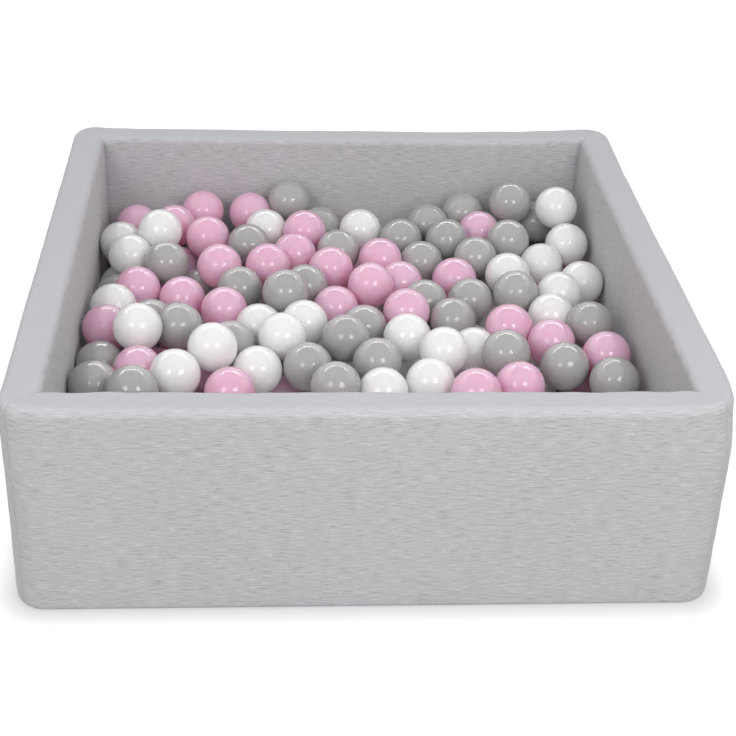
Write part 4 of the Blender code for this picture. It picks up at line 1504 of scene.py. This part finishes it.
@dataclass
class MouldedBalls:
    """The balls themselves: hollow, moulded in two halves, with a fine seam and a gate mark."""

    finishes: dict[Shade, bpy.types.Material]
    heap: Heap = field(default_factory=Heap)
    segments: int = 48
    rings: int = 22
    seam_height: float = 0.00010
    seam_width: float = 0.0006
    gate_depth: float = 0.00030
    gate_radius: float = 0.0016
    contact_play: float = 0.0001
    cloth_play: float = 0.0012
    deep_detail: tuple[int, int] = (24, 11)
    floor_detail: tuple[int, int] = (10, 5)

    def shell(self, segments: int, rings: int) -> tuple[np.ndarray, list[np.ndarray]]:
        """A ball about the origin, as a surface of two angles.

        The radius is half a ball, with a low ridge at the seam, a bell of the distance from it, and a
        shallow dimple at the gate, a bell of the distance from the pole.

        Args:
            segments: Number of points round the ball.
            rings: Number of rings of points between its poles. A fine ball has more near both marks.

        Returns:
            The points, the two poles last, and the faces.
        """
        radius = self.heap.ball / 2
        angle = np.linspace(0.0, math.pi, rings + 2)[1:-1]
        if segments == self.segments:
            fine = np.array((-1.6, -0.8, 0.0, 0.8, 1.6)) * self.seam_width / radius + math.pi / 2
            pole = np.array((0.5, 1.0, 1.6, 2.4)) * self.gate_radius / radius
            away = angle[np.abs(angle - math.pi / 2) > 0.04]
            angle = np.sort(np.concatenate((away, fine, pole)))
        polar = angle[:, None]
        around = np.arange(segments)[None, :] * 2 * math.pi / segments
        seam = self.seam_height * np.exp(-((polar - math.pi / 2) * radius / self.seam_width) ** 2)
        gate = self.gate_depth * np.exp(-(polar * radius / self.gate_radius) ** 2)
        reach = radius - self.seam_height + seam - gate
        points = np.stack((reach * np.sin(polar) * np.cos(around),
                           reach * np.sin(polar) * np.sin(around),
                           reach * np.cos(polar) + 0 * around), axis=-1).reshape(-1, 3)
        poles = np.array(((0, 0, radius - self.seam_height - self.gate_depth),
                          (0, 0, self.seam_height - radius)))
        count = len(points)
        ring = np.arange(segments)
        after = np.roll(ring, -1)
        last = count - segments
        cap = np.stack((np.full(segments, count), ring, after), axis=1)
        foot = np.stack((np.full(segments, count + 1), last + after, last + ring), axis=1)
        return np.vstack((points, poles)), [grid_faces(len(angle), segments, wrap=True), cap, foot]

    def turned_shell(self, shell: np.ndarray, draw: np.random.Generator) -> np.ndarray:
        """Turns a ball any way round, by a drawn quaternion.

        Args:
            shell: Points of the ball.
            draw: Random draw.

        Returns:
            The points after the turn.
        """
        quaternion = draw.normal(size=4)
        a, b, c, d = quaternion / np.linalg.norm(quaternion)
        rotation = np.array(((a*a + b*b - c*c - d*d, 2 * (b*c - a*d), 2 * (b*d + a*c)),
                             (2 * (b*c + a*d), a*a - b*b + c*c - d*d, 2 * (c*d - a*b)),
                             (2 * (b*d - a*c), 2 * (c*d + a*b), a*a - b*b - c*c + d*d)))
        return shell @ rotation.T

    def pressed(self, points: np.ndarray, centre: np.ndarray, others: np.ndarray) -> np.ndarray:
        """Flattens a ball where it presses on its neighbours and on the walls.

        A point that lies past the plane half way to a neighbour is brought back to it.

        Args:
            points: Points of the ball about its centre.
            centre: Its centre.
            others: Centres of all balls.

        Returns:
            The points after that.
        """
        offsets = others - centre
        distances = np.linalg.norm(offsets, axis=1)
        for offset, distance in zip(offsets, distances):
            if 0 < distance < self.heap.ball + 2 * self.contact_play:
                way = offset / distance
                past = points @ way - (distance / 2 - self.contact_play)
                points = points - np.clip(past, 0.0, None)[:, None] * way
        room = np.array((self.heap.sizes.inner_x, self.heap.sizes.inner_y)) - self.cloth_play
        points[:, :2] = np.clip(points[:, :2], -room - centre[:2], room - centre[:2])
        return points

    def glimpsed(self, below: np.ndarray) -> dict[int, Shade]:
        """Finds which of the lower balls a sight line meets first, for those that show a sliver.

        Args:
            below: Centres of the lower balls.

        Returns:
            The colours of those that were met, by their numbers.
        """
        eye = self.heap.view.eye()
        found = {}
        for column, row, colour in GLIMPSED_BALLS:
            line = self.heap.view.sight_line(column, row)
            offsets = below - eye
            along = offsets @ line
            miss = np.linalg.norm(offsets - along[:, None] * line, axis=1)
            hit = np.where(miss < self.heap.ball / 2, along, np.inf)
            if np.isfinite(hit.min()):
                found.setdefault(int(hit.argmin()), colour)
        return found

    def build(self) -> None:
        """Builds the single balls, each for its node, and the rest by colour and layer."""
        top, colours, below = self.heap.lay()
        nodes = sorted(name for name in frame["nodes"] if name.startswith("ball_"))
        singles = {name: np.array(sum(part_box(name), Vector())) / 2 for name in nodes}
        bedded = np.argsort(top[:, 2])[:len(top) - len(singles)]
        everyone = np.vstack((list(singles.values()), top[bedded], below))
        draw = np.random.default_rng(Seed.BALLS)
        fine, fine_faces = self.shell(self.segments, self.rings)
        for name, centre in singles.items():
            shade = Shade(name.split("_")[1])
            points = self.pressed(self.turned_shell(fine, draw), centre, everyone) + centre
            tone = np.full(len(points), draw.uniform())
            piece = make_piece(f"{name}_shell", points, fine_faces, self.finishes[shade],
                               values={TONE_VALUE: tone})
            body = name if name in frame["bodies"] else PIT_BODY
            put(piece, body, f"ball_{shade.value}", name)
        self.layer("bedded_balls", top[bedded], [colours[index] for index in bedded], everyone, draw,
                   (self.segments, self.rings))
        glimpses = self.glimpsed(below)
        hidden = [glimpses.get(index, FILL_COLOURS[(7 * index) % len(FILL_COLOURS)])
                  for index in range(len(below))]
        deep = below[:, 2] > self.heap.lowest + 0.3 * self.heap.ball
        for name, chosen, detail in (("deep_balls", deep, self.deep_detail),
                                     ("floor_balls", ~deep, self.floor_detail)):
            shades = [hidden[index] for index in np.flatnonzero(chosen)]
            self.layer(name, below[chosen], shades, everyone, draw, detail)

    def layer(self, name: str, centres: np.ndarray, colours: Sequence[Shade], everyone: np.ndarray,
              draw: np.random.Generator, detail: tuple[int, int]) -> None:
        """Builds many balls in one piece for each colour, standing for the lower balls of the CAD model.

        Args:
            name: Start of the pieces' names.
            centres: Centres of the balls.
            colours: Their colours.
            everyone: Centres of all balls, on which they press.
            draw: Random draw for the balls' turns and tones.
            detail: Number of segments and rings of a ball.
        """
        shell, face_sets = self.shell(*detail)
        for shade in Shade:
            chosen = [centre for centre, colour in zip(centres, colours) if colour is shade]
            points = [self.pressed(self.turned_shell(shell, draw), centre, everyone) + centre
                      for centre in chosen]
            tone = np.repeat(draw.uniform(size=len(chosen)), len(shell))
            start = np.arange(len(chosen))[:, None, None] * len(shell)
            faces = [(one[None] + start).reshape(-1, one.shape[1]) for one in face_sets]
            piece = make_piece(f"{name}_{shade.value}", np.array(points), faces,
                               self.finishes[shade], values={TONE_VALUE: tone})
            put(piece, PIT_BODY, f"ball_{shade.value}", "lower_balls")


# The zip

@dataclass
class ZipFastener:
    """The zip low on the back: two tapes, two coils, stops, slider and pull, and its topstitching."""

    tape: bpy.types.Material
    nylon: bpy.types.Material
    metal: bpy.types.Material
    thread: bpy.types.Material
    zip_sizes: Zip = field(default_factory=Zip)
    sizes: PitSizes = SIZES
    tape_wave: float = 0.00010
    tape_grid: tuple[int, int] = (161, 9)
    steps_per_turn: int = 10
    wire_sides: int = 5
    stitch_rings: int = 7
    stitch_sides: int = 5
    stitch_stand: float = 0.0006
    stitch_end: float = 0.06

    def build(self) -> None:
        """Builds the tapes, coils and stitches, and finishes the metal CAD pieces."""
        for name, way in (("upper", 1), ("lower", -1)):
            self.tape_strip(name, way)
            self.coil(name, way)
        self.topstitching()
        for name in ("zip_stop_closed_end", "zip_stop_open_end", "zip_slider", "zip_pull"):
            node = frame["nodes"][name]
            for slot in node.material_slots:
                slot.material = self.metal

    def tape_strip(self, name: str, way: int) -> None:
        """Builds one tape: a long strip with a slight wave where it's sewn in.

        Args:
            name: Name of the tape.
            way: 1 for the upper tape and -1 for the lower.
        """
        z, s = self.zip_sizes, self.sizes
        rows, columns = self.tape_grid
        face = s.depth / 2 - s.cloth - s.play
        x = np.linspace(z.length / 2, -z.length / 2, rows)[:, None]
        edge = way * (z.coil_slit / 2 + np.linspace(0.0, z.tape_width, columns))[None, :]
        place = np.stack((x + 0 * edge, edge + 0 * x), axis=-1)
        y = face - self.tape_wave * (1 + ripple(place, 0.03, Seed.TAPES)) * 0.5
        points = np.stack((x + 0 * edge, y, z.level + edge + 0 * x), axis=-1)
        faces = grid_faces(rows, columns)
        faces = faces[:, ::-1] if way < 0 else faces
        piece = make_piece(f"zip_tape_{name}_weave", points, [faces], self.tape, points[..., ::2])
        thicken(piece, z.tape_thickness)
        put(piece, PIT_BODY, "zip_tape", f"zip_tape_{name}")

    def coil(self, name: str, way: int) -> None:
        """Builds one coil: a round wire carried along a flattened helix, with a turn for each tooth.

        Args:
            name: Name of the coil.
            way: 1 for the upper coil and -1 for the lower.
        """
        z, s = self.zip_sizes, self.sizes
        half = z.length / 2 - z.stop_length - s.play - z.wire_radius
        sides = self.wire_sides
        turns = int(2 * half / z.turn_pitch)
        angle = np.linspace(0.0, turns * 2 * math.pi, turns * self.steps_per_turn + 1)
        wide, high = z.coil_width / 2 - z.wire_radius, z.coil_height / 2 - z.wire_radius
        back = s.depth / 2 - s.cloth
        rise = z.coil_slit / 2 + z.coil_width / 2 + wide * np.cos(angle)
        path = np.stack((angle / angle[-1] * 2 * half - half,
                         back + z.coil_height / 2 + high * np.sin(angle),
                         z.level + way * rise), axis=-1)
        tangent = np.gradient(path, axis=0)
        tangent /= np.linalg.norm(tangent, axis=1)[:, None]
        side = np.cross(tangent, (1.0, 0.0, 0.0))
        side /= np.linalg.norm(side, axis=1)[:, None]
        other = np.cross(tangent, side)
        around = (np.arange(sides) * 2 * math.pi / sides)[None, :, None]
        circle = np.cos(around) * side[:, None] + np.sin(around) * other[:, None]
        ring = path[:, None] + z.wire_radius * circle
        count = ring.shape[0]
        tube = grid_faces(count, sides, wrap=True)[:, ::-1]
        caps = [np.arange(sides)[None, ::-1], (np.arange(sides) + (count - 1) * sides)[None]]
        piece = make_piece(f"zip_coil_{name}_turns", ring, [tube, *caps], self.nylon)
        put(piece, PIT_BODY, "zip_coil", f"zip_coil_{name}")

    def topstitching(self) -> None:
        """Builds the stitches round the slot: small spindles along two lines and two half circles.

        A spindle's radius goes by the root of one less the square of the share of its half length.
        """
        z, s = self.zip_sizes, self.sizes
        radius = z.slot_half + z.stitch_set_back
        run = z.length / 2
        total = 4 * run + 2 * math.pi * radius
        count = int(total / z.stitch_pitch)
        place = (np.arange(count) + 0.5) * total / count
        bend = math.pi * radius
        parts = (place < 2 * run, place < 2 * run + bend, place < 4 * run + bend)
        turn = np.select(parts, (0 * place, (place - 2 * run) / radius, 0 * place + math.pi),
                         math.pi + (place - 4 * run - bend) / radius)
        x = np.select(parts, (place - run, run + radius * np.sin(turn), run - (place - 2 * run - bend)),
                      radius * np.sin(turn) - run)
        up = z.level - radius * np.cos(turn)
        rows, sides = self.stitch_rings, self.stitch_sides
        along = np.linspace(-0.5, 0.5, rows)
        thick = z.stitch_radius * np.sqrt(np.clip(1 - (2 * along) ** 2, self.stitch_end, None))
        around = np.arange(sides) * 2 * math.pi / sides
        lengthwise = along[:, None] * z.stitch_length + 0 * around[None]
        sideways = thick[:, None] * np.cos(around)[None]
        outwards = thick[:, None] * np.sin(around)[None]
        way_x, way_z = np.cos(turn)[:, None, None], np.sin(turn)[:, None, None]
        points = np.stack((x[:, None, None] + lengthwise * way_x - sideways * way_z,
                           s.depth / 2 + self.stitch_stand + outwards[None] + 0 * way_x,
                           up[:, None, None] + lengthwise * way_z + sideways * way_x), axis=-1)
        one = grid_faces(rows, sides, wrap=True)
        start = (np.arange(count) * rows * sides)[:, None, None]
        caps = np.stack((np.arange(sides), np.arange(sides)[::-1] + (rows - 1) * sides))
        face_sets = [(one[None] + start).reshape(-1, 4), (caps[None] + start).reshape(-1, sides)]
        piece = make_piece("zip_topstitching", points, face_sets, self.thread)
        put(piece, PIT_BODY, JERSEY_SLOT)


# The studio

@dataclass(frozen=True)
class Softbox:
    """A round soft lamp that faces the pit, placed by its bearing from it in degrees."""

    name: str
    bearing: float
    elevation: float
    distance: float
    width: float
    level: float

    def build(self, target: Vector) -> None:
        """Makes the lamp, whose power is its face's brightness times pi times the face's area.

        Args:
            target: Place that it faces.
        """
        data = bpy.data.lights.new(self.name, "AREA")
        data.shape = "DISK"
        data.size = self.width
        data.energy = self.level * math.pi * math.pi / 4 * self.width ** 2
        bearing, elevation = math.radians(self.bearing), math.radians(self.elevation)
        way = Vector((math.sin(bearing) * math.cos(elevation),
                      -math.cos(bearing) * math.cos(elevation), math.sin(elevation)))
        lamp = bpy.data.objects.new(self.name, data)
        facing = way.to_track_quat("Z", "Y").to_matrix().to_4x4()
        lamp.matrix_world = Matrix.Translation(target + way * self.distance) @ facing
        bpy.context.scene.collection.objects.link(lamp)


@dataclass(frozen=True)
class Studio:
    """White studio: a pale floor, a bright backdrop and ceiling, and two round softboxes in front.

    The sky lights the pit: its level goes from low to high by height, and from behind to before. The
    backdrop, with a brighter strip along its top, and the ceiling show only in what mirrors them. The
    shares say how white the floor is by distance from the pit, and the reaches are those distances. The
    less white ring nearest the pit is a painted shadow.
    """

    sky_low: float = 0.54
    sky_high: float = 0.77
    sky_behind: float = 0.85
    sky_before: float = 1.28
    ceiling: float = 1.25
    backdrop: float = 2.0
    backdrop_edge: float = 9.0
    backdrop_top: float = 0.68
    backdrop_blur: float = 0.01
    edge_height: float = 0.08
    edge_sides: tuple[float, float] = (0.35, 0.60)
    floor_colour: Colour = (0.50, 0.50, 0.50)
    floor_white: float = 1.20
    shadow_ring_white: float = 0.40
    near_share: float = 0.84
    shadow_ring_reach: float = 0.045
    near_reach: float = 0.30
    far_reach: float = 0.90
    floor_half: float = 9.0
    floor_drop: float = 0.0005
    softboxes: tuple[Softbox, ...] = (
        Softbox("softbox_left", -32.0, 34.0, 2.6, 0.87, 5.1),
        Softbox("softbox_right", 25.0, 34.0, 2.0, 0.68, 6.6),
    )
    lit_place: Triple = (0.0, 0.0, 0.2)

    def build(self, view: Viewpoint) -> None:
        """Makes the camera, the lamps, the world and the floor.

        Args:
            view: Where the scene's camera stands.
        """
        view.camera()
        bpy.context.scene.view_settings.view_transform = "Standard"
        for softbox in self.softboxes:
            softbox.build(Vector(self.lit_place))
        self.world()
        self.floor()

    def world(self) -> None:
        """White for the camera, a bright backdrop behind and a dimmer ceiling in reflections."""
        world = bpy.data.worlds.new("studio")
        bpy.context.scene.world = world
        world.use_nodes = True
        w = Wiring(world.node_tree)
        path = w.add("ShaderNodeLightPath")
        way = w.add("ShaderNodeSeparateXYZ", Vector=w.add("ShaderNodeTexCoord").outputs["Generated"])
        blur = self.backdrop_blur
        low = w.span(way.outputs["Z"], self.backdrop_top + blur, self.backdrop_top - blur)
        foot = self.backdrop_top - self.edge_height
        strip = w.math("MULTIPLY", w.span(way.outputs["Z"], foot - blur, foot + blur),
                       w.span(way.outputs["Y"], *self.edge_sides))
        brighter = w.math("MULTIPLY", strip, self.backdrop_edge - self.backdrop)
        edge = w.math("ADD", brighter, self.backdrop)
        behind = w.span(way.outputs["Y"], -0.1, 0.1)
        past_ceiling = w.math("SUBTRACT", edge, self.ceiling)
        shown = w.math("ADD", w.math("MULTIPLY", w.math("MULTIPLY", low, behind), past_ceiling),
                       self.ceiling)
        mirror = w.math("MAXIMUM", path.outputs["Is Glossy Ray"], path.outputs["Is Transmission Ray"])
        sky = w.math("MULTIPLY", w.span(way.outputs["Z"], 0.1, 0.9, self.sky_low, self.sky_high),
                     w.span(way.outputs["Y"], 0.5, -0.7, self.sky_behind, self.sky_before))
        level = w.math("ADD", w.math("MULTIPLY", mirror, w.math("SUBTRACT", shown, sky)), sky)
        camera = path.outputs["Is Camera Ray"]
        level = w.math("ADD", w.math("MULTIPLY", camera, w.math("SUBTRACT", 1.0, level)), level)
        background = world.node_tree.nodes["Background"]
        w.feed(background.inputs["Strength"], level)
        background.inputs["Color"].default_value = (1.0, 1.0, 1.0, 1.0)

    def floor(self) -> None:
        """Pale floor that keeps the pit's shadow near it and goes over into white further out.

        Its distance from the pit is that from the outline with its rounded corners. Near the outline the
        floor is less white under any light: a painted shadow round the pit, over the pit's own shadow.
        """
        made = bpy.data.materials.new("studio_floor")
        made.use_nodes = True
        w = Wiring(made.node_tree)
        for node in list(made.node_tree.nodes):
            made.node_tree.nodes.remove(node)
        path = w.add("ShaderNodeLightPath")
        place = w.add("ShaderNodeSeparateXYZ", Vector=object_place(w))
        squares = []
        for axis, size in (("X", SIZES.width), ("Y", SIZES.depth)):
            straight = size / 2 - SIZES.corner_radius
            past = w.math("SUBTRACT", w.math("ABSOLUTE", place.outputs[axis]), straight)
            past = w.math("MAXIMUM", past, 0.0)
            squares.append(w.math("MULTIPLY", past, past))
        off = w.math("SUBTRACT", w.math("SQRT", w.math("ADD", *squares)), SIZES.corner_radius)
        # Painted shadow: right at the outline the floor is less white under any light
        shadow_ring = w.span(off, -(SIZES.hem_radius + SIZES.hem_lip), self.shadow_ring_reach,
                         self.shadow_ring_white, self.near_share)
        share = w.math("ADD", shadow_ring, w.span(off, self.near_reach, self.far_reach, 0.0,
                                              1.0 - self.near_share))
        mirror = w.math("MAXIMUM", path.outputs["Is Glossy Ray"], path.outputs["Is Transmission Ray"])
        seen = w.math("MAXIMUM", path.outputs["Is Camera Ray"], mirror)
        matt = w.add("ShaderNodeBsdfDiffuse", Color=(*self.floor_colour, 1.0))
        white = w.add("ShaderNodeEmission", Strength=self.floor_white)
        mixed = w.add("ShaderNodeMixShader", Fac=w.math("MULTIPLY", share, seen))
        w.tree.links.new(matt.outputs[0], mixed.inputs[1])
        w.tree.links.new(white.outputs[0], mixed.inputs[2])
        w.add("ShaderNodeOutputMaterial", Surface=mixed.outputs[0])
        span = np.linspace(-self.floor_half, self.floor_half, 3)
        x, y = np.meshgrid(span, span, indexing="ij")
        points = np.stack((x, y, 0 * x - self.floor_drop), axis=-1)
        ground = make_piece("studio_floor", points, [grid_faces(3, 3)], made)


def main() -> None:
    """Builds the studio and then the pit, piece by piece."""
    Studio().build(Viewpoint(eye_shares=(-0.1432, -2.1646, 1.3852), turn=-0.0778, dip=0.5334,
                             tilt=0.0393, focal_pixels=1496.7))
    JerseyCover(Jersey().material()).build()
    FoamFilling(Foam().material()).build()
    ZipFastener(tape=Woven("zip_tape_weave", (0.44, 0.44, 0.45)).material(),
                nylon=Nylon().material(), metal=Nickel().material(),
                thread=Woven("sewing_thread", (0.62, 0.62, 0.64), 0.0004).material()).build()
    plastics = {
        Shade.WHITE: BallPlastic("white_ball_plastic", (0.86, 0.86, 0.855)),
        Shade.PINK: BallPlastic("pink_ball_plastic", (0.82, 0.47, 0.61), (0.080, 0.030, 0.045)),
        Shade.GREY: BallPlastic("grey_ball_plastic", (0.415, 0.410, 0.405), (0.030, 0.030, 0.030)),
    }
    MouldedBalls({shade: plastic.material() for shade, plastic in plastics.items()}).build()


if __name__ == "__main__":
    main()
